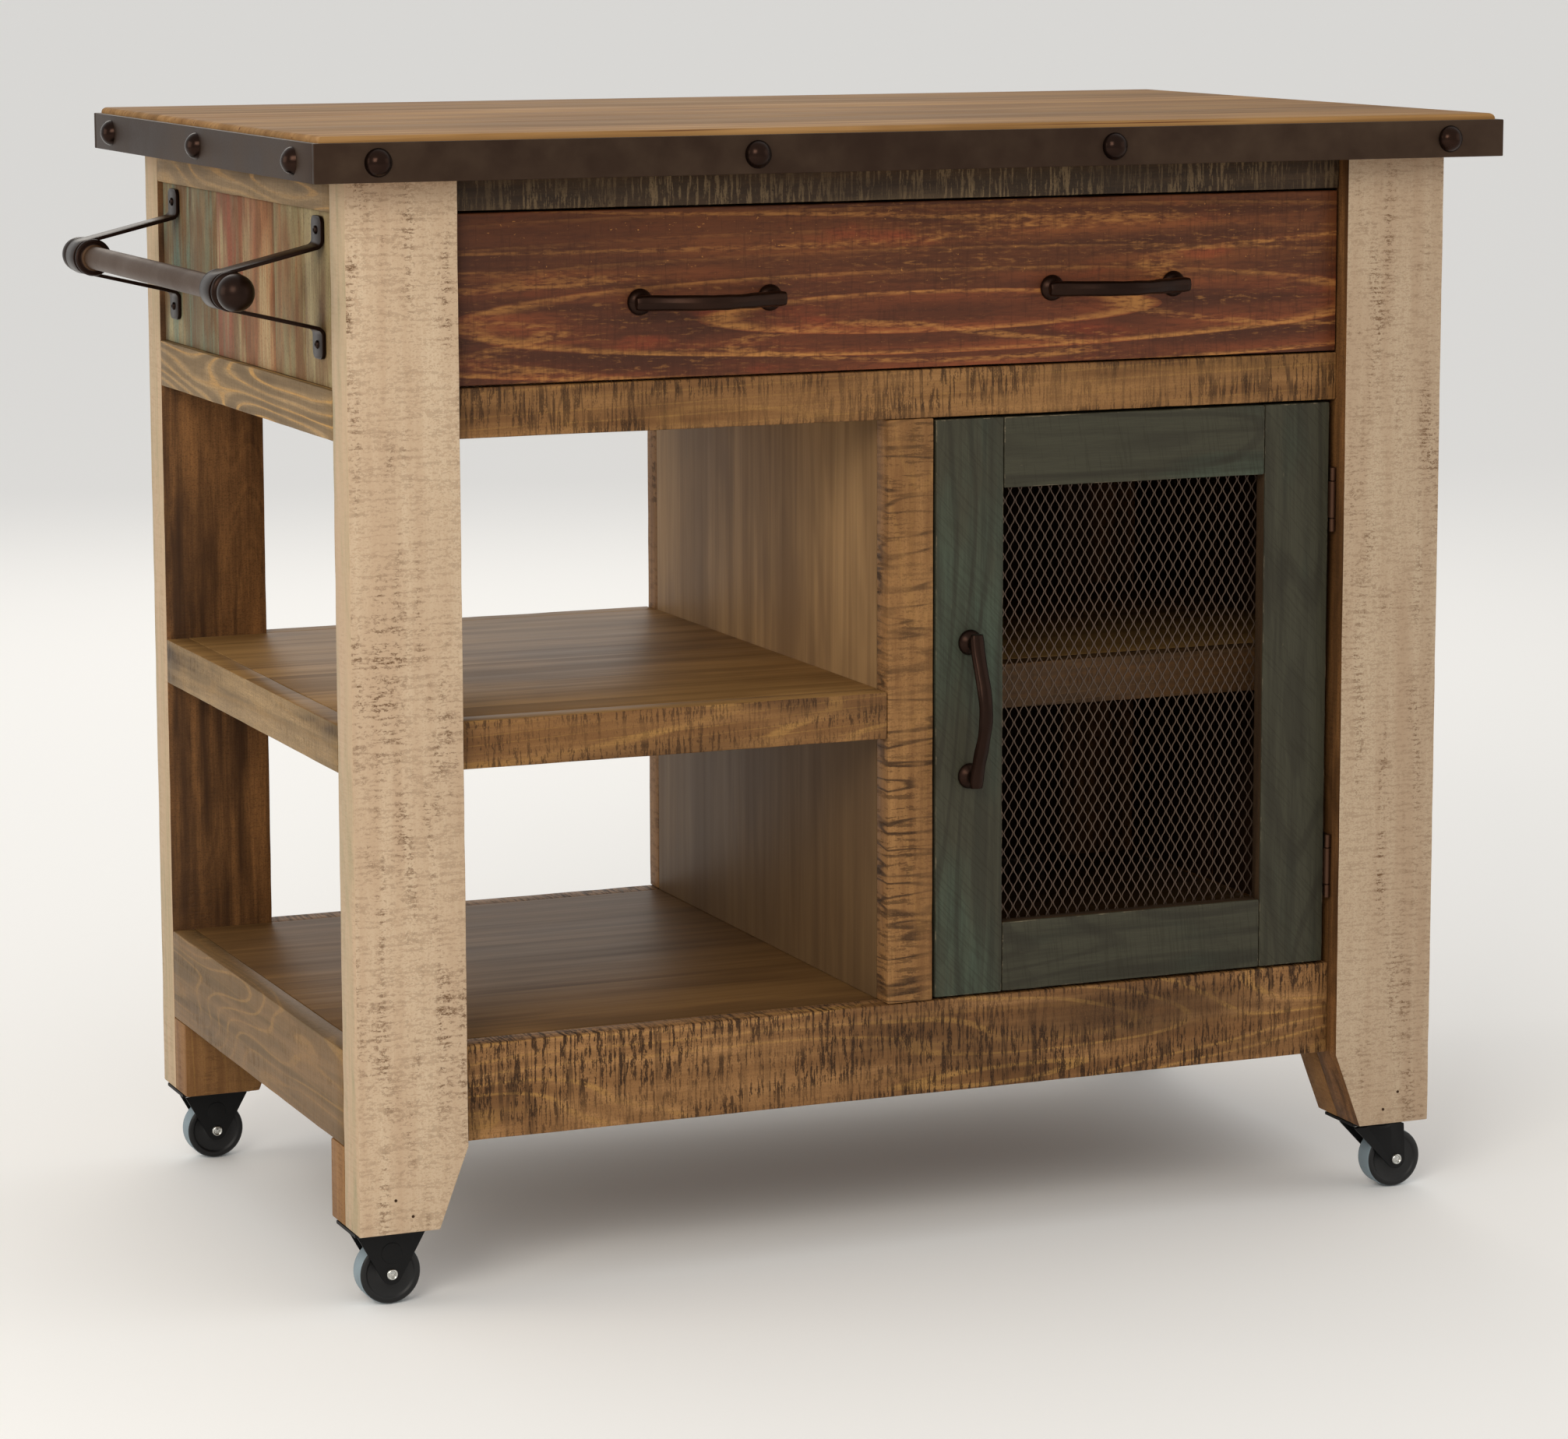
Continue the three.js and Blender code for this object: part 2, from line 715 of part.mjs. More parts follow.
// A strap leaves the panel below its upper plate, wraps the outside of the groove and comes back.
// Angles are in the XZ plane about the bar, measured from +X.
function towelStrap(y) {
  const panelX = -plankOuterX - seam;
  const plateX = panelX - strapThickness;
  const bendZ = strapSpan / 2 - strapPlate;
  const innerRadius = towelGrooveRadius + strapPlay;
  const outerRadius = innerRadius + strapThickness;
  const bearing = Math.atan2(bendZ, panelX - towelX);
  const distance = Math.hypot(bendZ, panelX - towelX);
  const leave = (radius) => bearing + Math.acos(radius / distance);
  const outer = leave(outerRadius);
  const inner = leave(innerRadius);
  const shape = new THREE.Shape();
  shape.moveTo(panelX, towelZ + strapSpan / 2);
  shape.lineTo(plateX, towelZ + strapSpan / 2);
  shape.lineTo(plateX, towelZ + bendZ + lap);
  shape.absarc(towelX, towelZ, outerRadius, outer, 2 * Math.PI - outer, false);
  shape.lineTo(plateX, towelZ - bendZ - lap);
  shape.lineTo(plateX, towelZ - strapSpan / 2);
  shape.lineTo(panelX, towelZ - strapSpan / 2);
  shape.lineTo(panelX, towelZ - bendZ + strapThickness);
  shape.absarc(towelX, towelZ, innerRadius, 2 * Math.PI - inner, inner, true);
  shape.lineTo(panelX, towelZ + bendZ - strapThickness);
  return plateXZ(shape, y - strapWidth / 2, y + strapWidth / 2, 20);
}
add("towel_strap_front", towelStrap(-strapY), bronze);
add("towel_strap_back", towelStrap(strapY), bronze);

// ---- Casters ----

// Each caster is built about its axle's middle in X and Y, with z = 0 on the floor.
function wheel() {
  const half = wheelWidth / 2;
  const profile = [
    [wheelBore, -half],
    [wheelDishRadius - 8, -half],
    [wheelDishRadius - 6, wheelDish - half],
    [wheelDishRadius, wheelDish - half],
    [wheelDishRadius + 1, -half],
    [wheelRadius - wheelShoulder, -half],
    [wheelRadius - wheelShoulder * 0.3, -half + wheelShoulder * 0.3],
    [wheelRadius, -half + wheelShoulder],
  ];
  const whole = [...profile, ...profile.map(([r, y]) => [r, -y]).reverse(), profile[0]];
  const lathe = new THREE.LatheGeometry(whole.map(([r, y]) => new THREE.Vector2(r, y)), 36);
  return solid(lathe).translate(0, 0, wheelRadius);
}

// A fork cheek: a triangle from its upper corners down to a round lobe about the axle.
function cheek(left, right, topZ) {
  const edge = (x, turn) => {
    const distance = Math.hypot(x, topZ - wheelRadius);
    return Math.atan2(topZ - wheelRadius, x) + turn * Math.acos(hubLobe / distance);
  };
  const shape = new THREE.Shape();
  shape.moveTo(right, topZ);
  shape.lineTo(left, topZ);
  shape.absarc(0, wheelRadius, hubLobe, edge(left, 1), edge(right, -1) + 2 * Math.PI, false);
  return shape;
}

const cheekInner = wheelWidth / 2 + cheekPlay;
const cheekOuter = cheekInner + cheekThickness;

function forkCheeks(left, right, topZ) {
  const shape = cheek(left, right, topZ);
  return joined(
    plateXZ(shape, -cheekOuter, -cheekInner, 12),
    plateXZ(shape, cheekInner, cheekOuter, 12),
  );
}

// The riveted axle, with a domed head outside each cheek.
function axle() {
  const head = () => dome(axleHeadRadius, axleHeadHeight, 3, 14);
  return joined(
    rod("y", [0, 0, wheelRadius], -cheekOuter - 0.5, cheekOuter + 0.5, axleRadius, 16),
    solid(head().rotateX(Math.PI / 2).translate(0, -cheekOuter + 0.1, wheelRadius)),
    solid(head().rotateX(-Math.PI / 2).translate(0, cheekOuter - 0.1, wheelRadius)),
  );
}

const plateTop = footHeight - seam;
const plateBottom = plateTop - plateThickness;

function mountPlate() {
  const halfX = plateLength / 2;
  const halfY = plateWidth / 2;
  return box([-halfX, halfX], [-halfY, halfY], [plateBottom, plateTop]);
}

function rigidFork() {
  const reach = plateLength / 2 - 3;
  return joined(mountPlate(), forkCheeks(-reach, reach, plateBottom + lap), axle());
}

// The swivel fork turns on the kingpin under its plate and carries the axle behind it.
const crownTop = plateBottom - raceHeight - swivelPlay;
const crownBottom = crownTop - crownThickness;

function swivelPlate() {
  const headTop = crownBottom - swivelPlay;
  return joined(
    mountPlate(),
    rod("z", [0, 0, 0], plateBottom - raceHeight, plateBottom + lap, raceRadius, 28),
    rod("z", [0, 0, 0], headTop - lap, plateBottom + lap, kingpinRadius, 16),
    rod("z", [0, 0, 0], headTop - kingpinHeadHeight, headTop, kingpinHead, 16),
  );
}

function swivelFork() {
  const crownLeft = -trail - raceRadius; // the crown's own round edge
  const crownRight = raceRadius - trail;
  const crown = rod("z", [-trail, 0, 0], crownBottom, crownTop, raceRadius, 28);
  const bridge = box([crownLeft + 4, crownRight + 4], [-cheekOuter, cheekOuter], [crownBottom, crownTop]);
  const hole = rod("z", [-trail, 0, 0], crownBottom - lap, crownTop + lap, kingpinRadius + swivelPlay, 16);
  return joined(
    joined(crown, bridge).subtract(hole),
    forkCheeks(crownLeft - 8, crownRight + 6, crownTop - crownThickness / 3),
    axle(),
  );
}

const footMiddleX = legOuterX - (legWidth - taperInset) / 2;
const footMiddleY = legOuterY - (legThickness + footBlockDepth) / 2;

for (const [end, sideY] of [["front", -1], ["back", 1]]) {
  const rigid = new THREE.Group();
  rigid.position.set(-footMiddleX, sideY * footMiddleY, 0);
  cart.add(rigid);
  add(`caster_fork_${end}_left`, rigidFork(), blackSteel, rigid);
  add(`caster_wheel_${end}_left`, wheel(), rubberGrey, rigid);

  const swivel = new THREE.Group();
  swivel.position.set(footMiddleX, sideY * footMiddleY, 0);
  cart.add(swivel);
  add(`caster_plate_${end}_right`, swivelPlate(), blackSteel, swivel);
  const fork = add(`caster_fork_${end}_right`, swivelFork(), blackSteel, swivel);
  const roller = add(`caster_wheel_${end}_right`, wheel(), rubberGrey, swivel);
  fork.position.x = trail;
  roller.position.x = trail;
}

// The towel bar makes the cart longer on the left: the origin stays under the middle of the whole.
const towelEdge = Math.max(towelRingRadius, towelGrooveRadius + strapPlay + strapThickness);
const reachLeft = bandX + towelReach + towelEdge;
const reachRight = bandX - rivetSink + rivetHeight;
cart.position.x = (reachLeft - reachRight) / 2;

export default cart;
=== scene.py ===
"""A rustic kitchen island cart: planks in a riveted band on sawn legs, with a drawer, a bay and a cabinet.

Every piece is built in metres, in the cart's own frame: +Z up, the drawer and the door towards -Y and
the towel bar at -X. Places come from the frame's own boxes, and each piece rides on the body it is
fixed to, so the drawer, the door, the forks and the wheels move as the frame does.
"""

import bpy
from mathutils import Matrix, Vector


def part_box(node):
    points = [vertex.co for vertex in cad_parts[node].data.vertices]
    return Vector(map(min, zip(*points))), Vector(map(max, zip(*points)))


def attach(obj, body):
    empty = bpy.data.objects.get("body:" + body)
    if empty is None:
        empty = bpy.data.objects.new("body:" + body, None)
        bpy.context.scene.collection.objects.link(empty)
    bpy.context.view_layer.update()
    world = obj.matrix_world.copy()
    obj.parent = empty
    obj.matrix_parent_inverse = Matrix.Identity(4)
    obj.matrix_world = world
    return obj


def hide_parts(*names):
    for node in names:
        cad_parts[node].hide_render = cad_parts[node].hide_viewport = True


bl_info = {
    "name": "Kitchen Island Cart",
    "version": (1, 0, 0),
    "blender": (4, 5, 0),
    "location": "View3D > Sidebar > Island Cart",
    "description": "Builds a rustic kitchen island cart around its frame, piece by piece",
    "category": "Add Mesh",
}

from math import acos, atan2, cos, hypot, pi, radians, sin
from types import SimpleNamespace

import bmesh
import bpy
from bpy.props import FloatProperty, FloatVectorProperty, IntProperty, PointerProperty
from mathutils import Matrix, Vector, noise

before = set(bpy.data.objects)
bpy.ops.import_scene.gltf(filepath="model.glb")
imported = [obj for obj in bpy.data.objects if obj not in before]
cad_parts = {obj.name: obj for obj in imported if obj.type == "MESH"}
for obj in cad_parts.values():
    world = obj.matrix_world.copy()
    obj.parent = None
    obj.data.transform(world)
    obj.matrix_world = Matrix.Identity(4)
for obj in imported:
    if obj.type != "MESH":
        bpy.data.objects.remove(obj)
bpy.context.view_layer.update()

MM = 0.001

RIVET_HEIGHT = 8.8 * MM
RAIL_THICKNESS = 23 * MM
SEAM_OVERLAP = 0.02 * MM
LEAF_THICKNESS = 1.2 * MM

# The camera stands front-left of the cart at about worktop height: its distance to the left of the band's left
# end and before its front, its height, then its yaw, pitch and roll in radians.
CAMERA_STAND = (1.058, 3.429, 1.073)
CAMERA_TURN = (0.3978, 0.1459, -0.002)
CAMERA_SENSOR, CAMERA_LENS = 36.0, 110.6
CAMERA_SHIFT = (-0.0054, -0.0596)
CAMERA_REACH = 1000

# The floor runs on past the horizon, a hair under the wheels.
FLOOR_REACH = 400
FLOOR_DROP = 0.5 * MM
FLOOR_GREY = (0.93, 0.93, 0.93)
SKY_TINT, SKY_STRENGTH = (1.0, 0.985, 0.955, 1.0), 0.74
LAMP_TINT = (1.0, 0.94, 0.84)


def linear(code):
    """The linear colour of a web colour such as 8a5e34."""
    parts = [int(code[i : i + 2], 16) / 255 for i in (0, 2, 4)]
    return tuple(p / 12.92 if p <= 0.04045 else ((p + 0.055) / 1.055) ** 2.4 for p in parts)


def size_of(label, text, millimetres):
    default = millimetres * MM
    return FloatProperty(name=label, description=text, default=default, min=0.0, unit="LENGTH", precision=5)


def tint_of(label, text, code):
    return FloatVectorProperty(
        name=label, description=text, default=linear(code), size=3, min=0.0, max=1.0, subtype="COLOR"
    )


class IslandCartSizes(bpy.types.PropertyGroup):
    """Sizes of the fine shapes that the frame leaves open."""

    edge_round: size_of("Sawn edge", "Radius of the rough boards' edges", 1.3)
    fine_round: size_of("Fine edge", "Radius of the planed boards' edges", 0.8)
    waver: size_of("Waver", "How far a sawn edge wanders", 0.5)
    waver_step: size_of("Waver step", "Distance between the places where a sawn edge changes course", 22)
    top_round: size_of("Top round-over", "Radius round the worktop's outer edge", 4.2)
    top_planks: IntProperty(name="Top planks", description="Planks across the worktop", default=7, min=2, max=14)
    seam_groove: size_of("Plank seam", "Width of the eased edge where two planks meet", 1.7)
    leg_thickness: size_of("Leg thickness", "Thickness of a leg board", 38)
    taper: size_of("Foot taper", "How far the foot narrows", 24)
    end_planks: IntProperty(name="End planks", description="Planks across one end", default=6, min=2, max=12)
    diamond_width: size_of("Diamond width", "Width of one opening of the mesh", 9)
    diamond_height: size_of("Diamond height", "Height of one opening of the mesh", 15.2)
    strand_width: size_of("Strand width", "Width of the mesh's strands", 1.0)
    strand_depth: size_of("Strand depth", "Thickness of the mesh's strands", 1.0)
    pull_height: size_of("Pull height", "Height of a pull's bar", 12.2)
    pull_depth: size_of("Pull depth", "Depth of a pull's bar", 9.4)


class IslandCartColours(bpy.types.PropertyGroup):
    """The colours of the cart's finishes."""

    wash: tint_of("Whitewash", "Whitewashed faces of the legs", "cdb79b")
    wash_warm: tint_of("Warm whitewash", "Where the wash is thin", "bba084")
    wash_edge: tint_of("Washed edge", "Outer edges of the legs", "8b8666")
    wash_mark: tint_of("Wash marks", "Saw marks that show through the wash", "6a4f37")
    stain: tint_of("Brown stain", "Inner faces of the legs", "a06f40")
    stain_dark: tint_of("Dark stain", "Knots and end of the brown stain", "3a2412")
    amber: tint_of("Amber", "Rails and stile", "9a7144")
    deck: tint_of("Amber, deck rail", "Light tone of the deck rail", "ad8152")
    amber_mid: tint_of("Mid amber", "Darker streaks of the rails", "6e4a28")
    amber_dark: tint_of("Dark amber", "Saw marks on the rails", "2c1b0c")
    # These three keep the rail under the worktop darker than the amber rails: partly its dark stain, partly painted
    # shade under the band. Other dark inner parts borrow them.
    shade: tint_of("Shaded rail", "The rail under the worktop", "7d684c")
    shade_mid: tint_of("Shaded rail streaks", "Darker streaks of the rail under the worktop", "4c3926")
    shade_dark: tint_of("Shaded rail marks", "Saw marks of the rail under the worktop", "2a1e14")
    gold: tint_of("Gold", "Hard grain that takes little stain", "b88c4c")
    olive: tint_of("Olive", "Rails of the left end", "a3855a")
    olive_mid: tint_of("Mid olive", "Deck rail of the left end", "83623c")
    olive_dark: tint_of("Dark olive", "Streaks on the rails of the left end", "5e4a2e")
    top: tint_of("Top", "Worktop planks", "a27c4e")
    top_dark: tint_of("Dark top", "Dark streaks of the worktop", "7c5932")
    top_line: tint_of("Top line", "Red-brown lines of the worktop", "593320")
    shelf: tint_of("Shelf", "Shelf and deck", "a47e4c")
    deck_boards: tint_of("Deck boards", "Light tone of the deck", "7b5b36")
    deck_boards_dark: tint_of("Deck boards, dark", "Streaks of the deck", "583f25")
    shelf_dark: tint_of("Dark shelf", "Streaks of the shelf and the deck", "71532f")
    divider: tint_of("Divider", "Divider beside the cabinet", "a07e54")
    divider_dark: tint_of("Dark divider", "Streaks of the divider", "74583a")
    red: tint_of("Red", "Drawer front", "8d4928")
    red_brown: tint_of("Red-brown", "Upper part of the drawer front", "704220")
    red_bright: tint_of("Red blush", "Brighter red patches of the drawer front", "8f3d22")
    red_dark: tint_of("Dark red", "Dark stain of the drawer front", "3d2013")
    red_gold: tint_of("Drawer gold", "Hard grain of the drawer front", "ae773e")
    teal: tint_of("Teal", "Door", "3c3a2c")
    teal_dark: tint_of("Dark teal", "Rubbed-in shade of the door", "262218")
    teal_light: tint_of("Light teal", "Worn high places of the door", "485647")
    worn: tint_of("Bare wood", "Where the door's paint is through", "7d705a")
    plank_cream: tint_of("Cream plank", "Cream planks of the ends", "9a8a62")
    plank_olive: tint_of("Olive plank", "Olive planks of the ends", "857651")
    plank_orange: tint_of("Orange plank", "Orange planks of the ends", "9a6840")
    plank_red: tint_of("Red plank", "Red planks of the ends", "8a4f38")
    plank_grey: tint_of("Grey-green plank", "Grey-green planks of the ends", "76745a")
    plank_teal: tint_of("Teal plank", "Teal planks of the ends", "6b7a68")
    plank_pale: tint_of("Pale brush marks", "Dry-brushed marks on the planks", "c0b085")
    bare: tint_of("Pine", "Drawer box", "b58e5c")
    bare_dark: tint_of("Dark pine", "Streaks of the drawer box", "93693a")
    bronze: tint_of("Bronze", "Band, rivets and pulls", "32231a")
    bronze_warm: tint_of("Worn bronze", "Where the bronze is rubbed", "5f4d3d")
    cast: tint_of("Dark bronze", "Pulls, ball ends and straps", "251914")
    cast_warm: tint_of("Rubbed dark bronze", "Worn places on the pulls and ball ends", "38251c")
    bar: tint_of("Towel bar", "The towel bar's tube", "48321f")
    mesh: tint_of("Mesh", "The door's mesh", "55463c")
    copper: tint_of("Copper", "Hinges", "4d3426")
    zinc: tint_of("Zinc", "Slides and axle heads", "c9c9c4")
    black: tint_of("Black", "Caster forks", "070708")
    tread: tint_of("Tread", "Treads of the wheels", "76848c")
    wheel: tint_of("Wheel", "Sides of the wheels", "0a0a0b")


# ---- Shader sums ----


class Level:
    """A number that varies over a surface. A sum on it adds nodes to its finish."""

    def __init__(self, finish, socket):
        self.finish, self.socket = finish, socket

    def __add__(self, other):
        return self.finish.sum("ADD", self, other)

    def __sub__(self, other):
        return self.finish.sum("SUBTRACT", self, other)

    def __rsub__(self, other):
        return self.finish.sum("SUBTRACT", other, self)

    def __mul__(self, other):
        return self.finish.sum("MULTIPLY", self, other)

    def __truediv__(self, other):
        return self.finish.sum("DIVIDE", self, other)

    __radd__, __rmul__ = __add__, __mul__

    def rise(self, low, high):
        """0 below low and 1 above high, smoothly between them; the other way round if low is above high."""
        settings = {"interpolation_type": "SMOOTHSTEP", "clamp": True}
        made = self.finish.node("ShaderNodeMapRange", settings, {0: self, 1: low, 2: high, 3: 0.0, 4: 1.0})
        return Level(self.finish, made.outputs[0])


class Finish:
    """A material in the making. Every node of it comes from node(), and shade is its colour so far."""

    def __init__(self, name, specular):
        self.material = bpy.data.materials.new(name)
        self.material.use_nodes = True
        self.tree = self.material.node_tree
        self.tree.nodes.clear()
        self.skin = self.node("ShaderNodeBsdfPrincipled", {}, {"Specular IOR Level": specular})
        self.node("ShaderNodeOutputMaterial", {}, {"Surface": self.skin.outputs[0]})
        self.point = self.node("ShaderNodeTexCoord").outputs["Object"]
        self.shade = None

    def node(self, kind, settings=None, values=None):
        """A node of that kind with its settings made first and then its sockets' values or links."""
        made = self.tree.nodes.new(kind)
        for key, value in (settings or {}).items():
            setattr(made, key, value)
        for key, value in (values or {}).items():
            self.feed(made.inputs[key], value)
        return made

    def feed(self, socket, value):
        if isinstance(value, Level):
            value = value.socket
        if isinstance(value, bpy.types.NodeSocket):
            self.tree.links.new(value, socket)
        elif socket.type == "RGBA":
            socket.default_value = (*value[:3], 1.0)
        else:
            socket.default_value = value

    def sum(self, operation, *terms):
        made = self.node("ShaderNodeMath", {"operation": operation}, dict(enumerate(terms)))
        return Level(self, made.outputs[0])

    def least(self, a, b):
        return self.sum("MINIMUM", a, b)

    def most(self, a, b):
        return self.sum("MAXIMUM", a, b)

    def size(self, a):
        return self.sum("ABSOLUTE", a)

    def parts(self, vector):
        made = self.node("ShaderNodeSeparateXYZ", {}, {0: vector})
        return [Level(self, socket) for socket in made.outputs]

    def placed(self, vector, shift=(0, 0, 0), turn=(0, 0, 0), stretch=(1, 1, 1)):
        values = {"Vector": vector, "Location": shift, "Rotation": turn, "Scale": stretch}
        return self.node("ShaderNodeMapping", {}, values).outputs[0]

    def noise(self, vector, stretch, detail, rough, shift=(0, 0, 0)):
        """Noise with its own frequency, per metre, along each axis of the vector."""
        placed = self.placed(vector, shift, (0, 0, 0), stretch)
        values = {"Vector": placed, "Scale": 1.0, "Detail": detail, "Roughness": rough, "Distortion": 0.0}
        return Level(self, self.node("ShaderNodeTexNoise", {}, values).outputs[0])

    def rings(self, vector, pith, tilt, pitch, bend):
        """Growth rings round a line near the X axis, a little tilted, so that they run out as arches."""
        rise, swing = tilt
        moved = self.placed(vector, pith, (0, rise, swing))
        squeezed = self.placed(moved, stretch=(0.16, 1, 1))
        # A ring texture of scale 1 repeats every pi / 10.
        values = {"Vector": squeezed, "Scale": pi / 10 / pitch, "Distortion": bend}
        values |= {"Detail": 2.0, "Detail Scale": 0.35, "Detail Roughness": 0.55}
        settings = {"wave_type": "RINGS", "rings_direction": "X", "wave_profile": "SAW"}
        return Level(self, self.node("ShaderNodeTexWave", settings, values).outputs["Fac"])

    def contours(self, vector, stretch, count, shift=(0, 0, 0)):
        """Level lines of a smooth noise, from 0 to 1: the whorls and arches of flat-sawn wood."""
        field = self.noise(vector, stretch, 1, 0.35, shift=shift)
        return self.sum("SINE", field * count) * 0.5 + 0.5

    def knots(self, vector, stretch, shift=(0, 0, 0)):
        """How far each place is from the nearest knot: 0 at its middle."""
        values = {"Vector": self.placed(vector, shift, (0, 0, 0), stretch), "Scale": 1.0, "Randomness": 1.0}
        return Level(self, self.node("ShaderNodeTexVoronoi", {"feature": "F1"}, values).outputs["Distance"])

    def blend(self, factor, a, b):
        settings = {"data_type": "RGBA", "clamp_factor": True}
        return self.node("ShaderNodeMix", settings, {0: factor, 6: a, 7: b}).outputs[2]

    def tint(self, factor, colour):
        """Lays a colour over the shade so far."""
        self.shade = self.blend(factor, self.shade, colour)

    def relief(self, height, depth, strength):
        """Sets the surface's bump from a height of 0 to 1 that stands for that depth in metres."""
        made = self.node("ShaderNodeBump", {}, {"Strength": strength, "Distance": depth, "Height": height})
        self.feed(self.skin.inputs["Normal"], made.outputs[0])

    def paint(self, roughness, metallic=0.0):
        """The finished material, in the shade so far."""
        for key, value in (("Base Color", self.shade), ("Roughness", roughness), ("Metallic", metallic)):
            self.feed(self.skin.inputs[key], value)
        return self.material


GRAIN_TURN = {"x": (0, 0, 0), "y": (0, 0, -pi / 2), "z": (0, pi / 2, 0)}


def edge_gap(finish, lo, hi):
    """How far each place on a box's surface is from the box's nearest edge, in metres."""
    gaps = []
    for level, low, high in zip(finish.parts(finish.point), lo, hi):
        gaps.append(finish.least(level - low, high - level))
    a, b, c = gaps
    return finish.most(finish.least(a, b), finish.least(finish.most(a, b), c))


SAWN_LOOK = {
    # Saw marks across the grain: how strong, then their pitch, lengths, the columns they stand in and their grit
    "saw": 0.6, "pitch": 2.2 * MM, "dash": 8 * MM, "line": 40 * MM, "column": 12 * MM, "cover": 0.5, "grit": 0.25,
    # Long cracks across the grain
    "cut": 0.0, "cut_pitch": 11 * MM,
    # Growth rings and whorls, knots, specks and smudges
    "figure": 0.35, "ring": 9 * MM, "pith": (0.0, 0.03, -0.05), "tilt": (0.05, 0.03), "bend": 3.2,
    "whorl": 0.15, "whorls": 60, "knot": 0.0, "speck": 0.3, "smudge": 0.25,
    # The surface
    "roughness": 0.62, "specular": 0.2, "depth": 0.5 * MM,
}


def sawn_wood(name, grain, shift, light, mid, dark, gold=None, **amounts):
    """Rough-sawn stained wood: saw marks across the grain, growth rings, streaks and a few knots."""
    look = SimpleNamespace(**(SAWN_LOOK | amounts))
    finish = Finish(name, specular=look.specular)
    at = finish.placed(finish.point, shift, GRAIN_TURN[grain])
    streaks = finish.noise(at, (3.5, 80, 80), 4, 0.6)
    patches = finish.noise(at, (8, 30, 30), 3, 0.55, shift=(3, 7, 1))
    clouds = finish.noise(at, (3.2, 11, 11), 3, 0.55, shift=(6, 1, 4))
    fibre = finish.noise(at, (70, 1000, 1000), 2, 0.6)
    rings = finish.rings(at, look.pith, look.tilt, look.ring, look.bend)
    whorls = finish.contours(at, (2.6, 15, 15), look.whorls, (1, 1, 7))
    sweep, column = 1 / look.pitch, 1 / look.column
    dashes = finish.noise(at, (sweep, 1 / look.dash, 1 / look.dash), 2, 0.55, shift=(1, 2, 3))
    lines = finish.noise(at, (sweep * 0.8, 1 / look.line, 1 / look.line), 2, 0.55, shift=(4, 2, 6))
    columns = finish.noise(at, (7, column, column), 2, 0.6, shift=(8, 2, 1))
    specks = finish.noise(at, (900, 600, 600), 2, 0.6, shift=(5, 2, 8))
    cover = (columns * 0.6 + patches * 0.5).rise(0.68 - 0.3 * look.cover, 0.86 - 0.3 * look.cover)
    marks = (dashes * 0.5 + lines * 0.5 + (specks - 0.5) * look.grit).rise(0.5, 0.57) * (0.3 + cover * 0.7)
    finish.shade = finish.blend((streaks * 0.6 + patches * 0.3 + clouds * 0.3).rise(0.45, 0.78), light, mid)
    if gold is not None:
        bands = (rings + (fibre - 0.5) * 0.3).rise(0.76, 0.92) * (1.1 - rings).rise(0.1, 0.3)
        finish.tint(bands * (streaks + clouds).rise(0.75, 1.15) * look.figure * 1.6, gold)
    finish.tint(rings.rise(0.05, 0.7) * look.figure * 0.5, mid)
    crest = whorls.rise(0.86, 0.99) * (0.3 + streaks.rise(0.4, 0.6) * 0.7)
    finish.tint(whorls.rise(0.9, 0.2) * look.whorl * 0.6, mid)
    finish.tint(crest * look.whorl, mid if gold is None else gold)
    finish.tint((fibre - 0.32) * 0.95, mid)
    finish.tint((clouds * 0.7 + patches * 0.4).rise(0.56, 0.78) * look.smudge, dark)
    if look.cut:
        lanes = finish.noise(at, (1 / look.cut_pitch, 9, 9), 1, 0.5, shift=(2, 6, 4))
        cuts = finish.size(lanes - 0.5).rise(0.05, 0.01) * (0.35 + columns.rise(0.4, 0.6) * 0.65)
        finish.tint(cuts * (0.4 + specks * 0.9) * look.cut, dark)
    if look.knot:
        near = finish.knots(at, (1.9, 0, 9), (0.4, 0, 0.3)) + (patches - 0.5) * 0.12
        finish.tint(near.rise(0.3, 0.1) * look.knot * 0.8, dark)
        finish.tint(near.rise(0.12, 0.07) * look.knot, mid)
    finish.tint(marks * look.saw, dark)
    finish.tint(specks.rise(0.48, 0.66) * look.speck, mid)
    rough = look.roughness + (streaks - 0.5) * 0.15 + marks * 0.12
    finish.relief(fibre * 0.12 + rings * 0.08 + specks * 0.1 - marks * 0.5, look.depth, 0.8)
    return finish.paint(rough)


def painted_shade_wood(name, shift):
    """The inner face of upright planks, painted near-black: painted shade for the cart's dark inside."""
    c = tones()
    return sawn_wood(name, "z", shift, c.shade_dark, c.stain_dark, c.stain_dark, saw=0.2, speck=0.2)


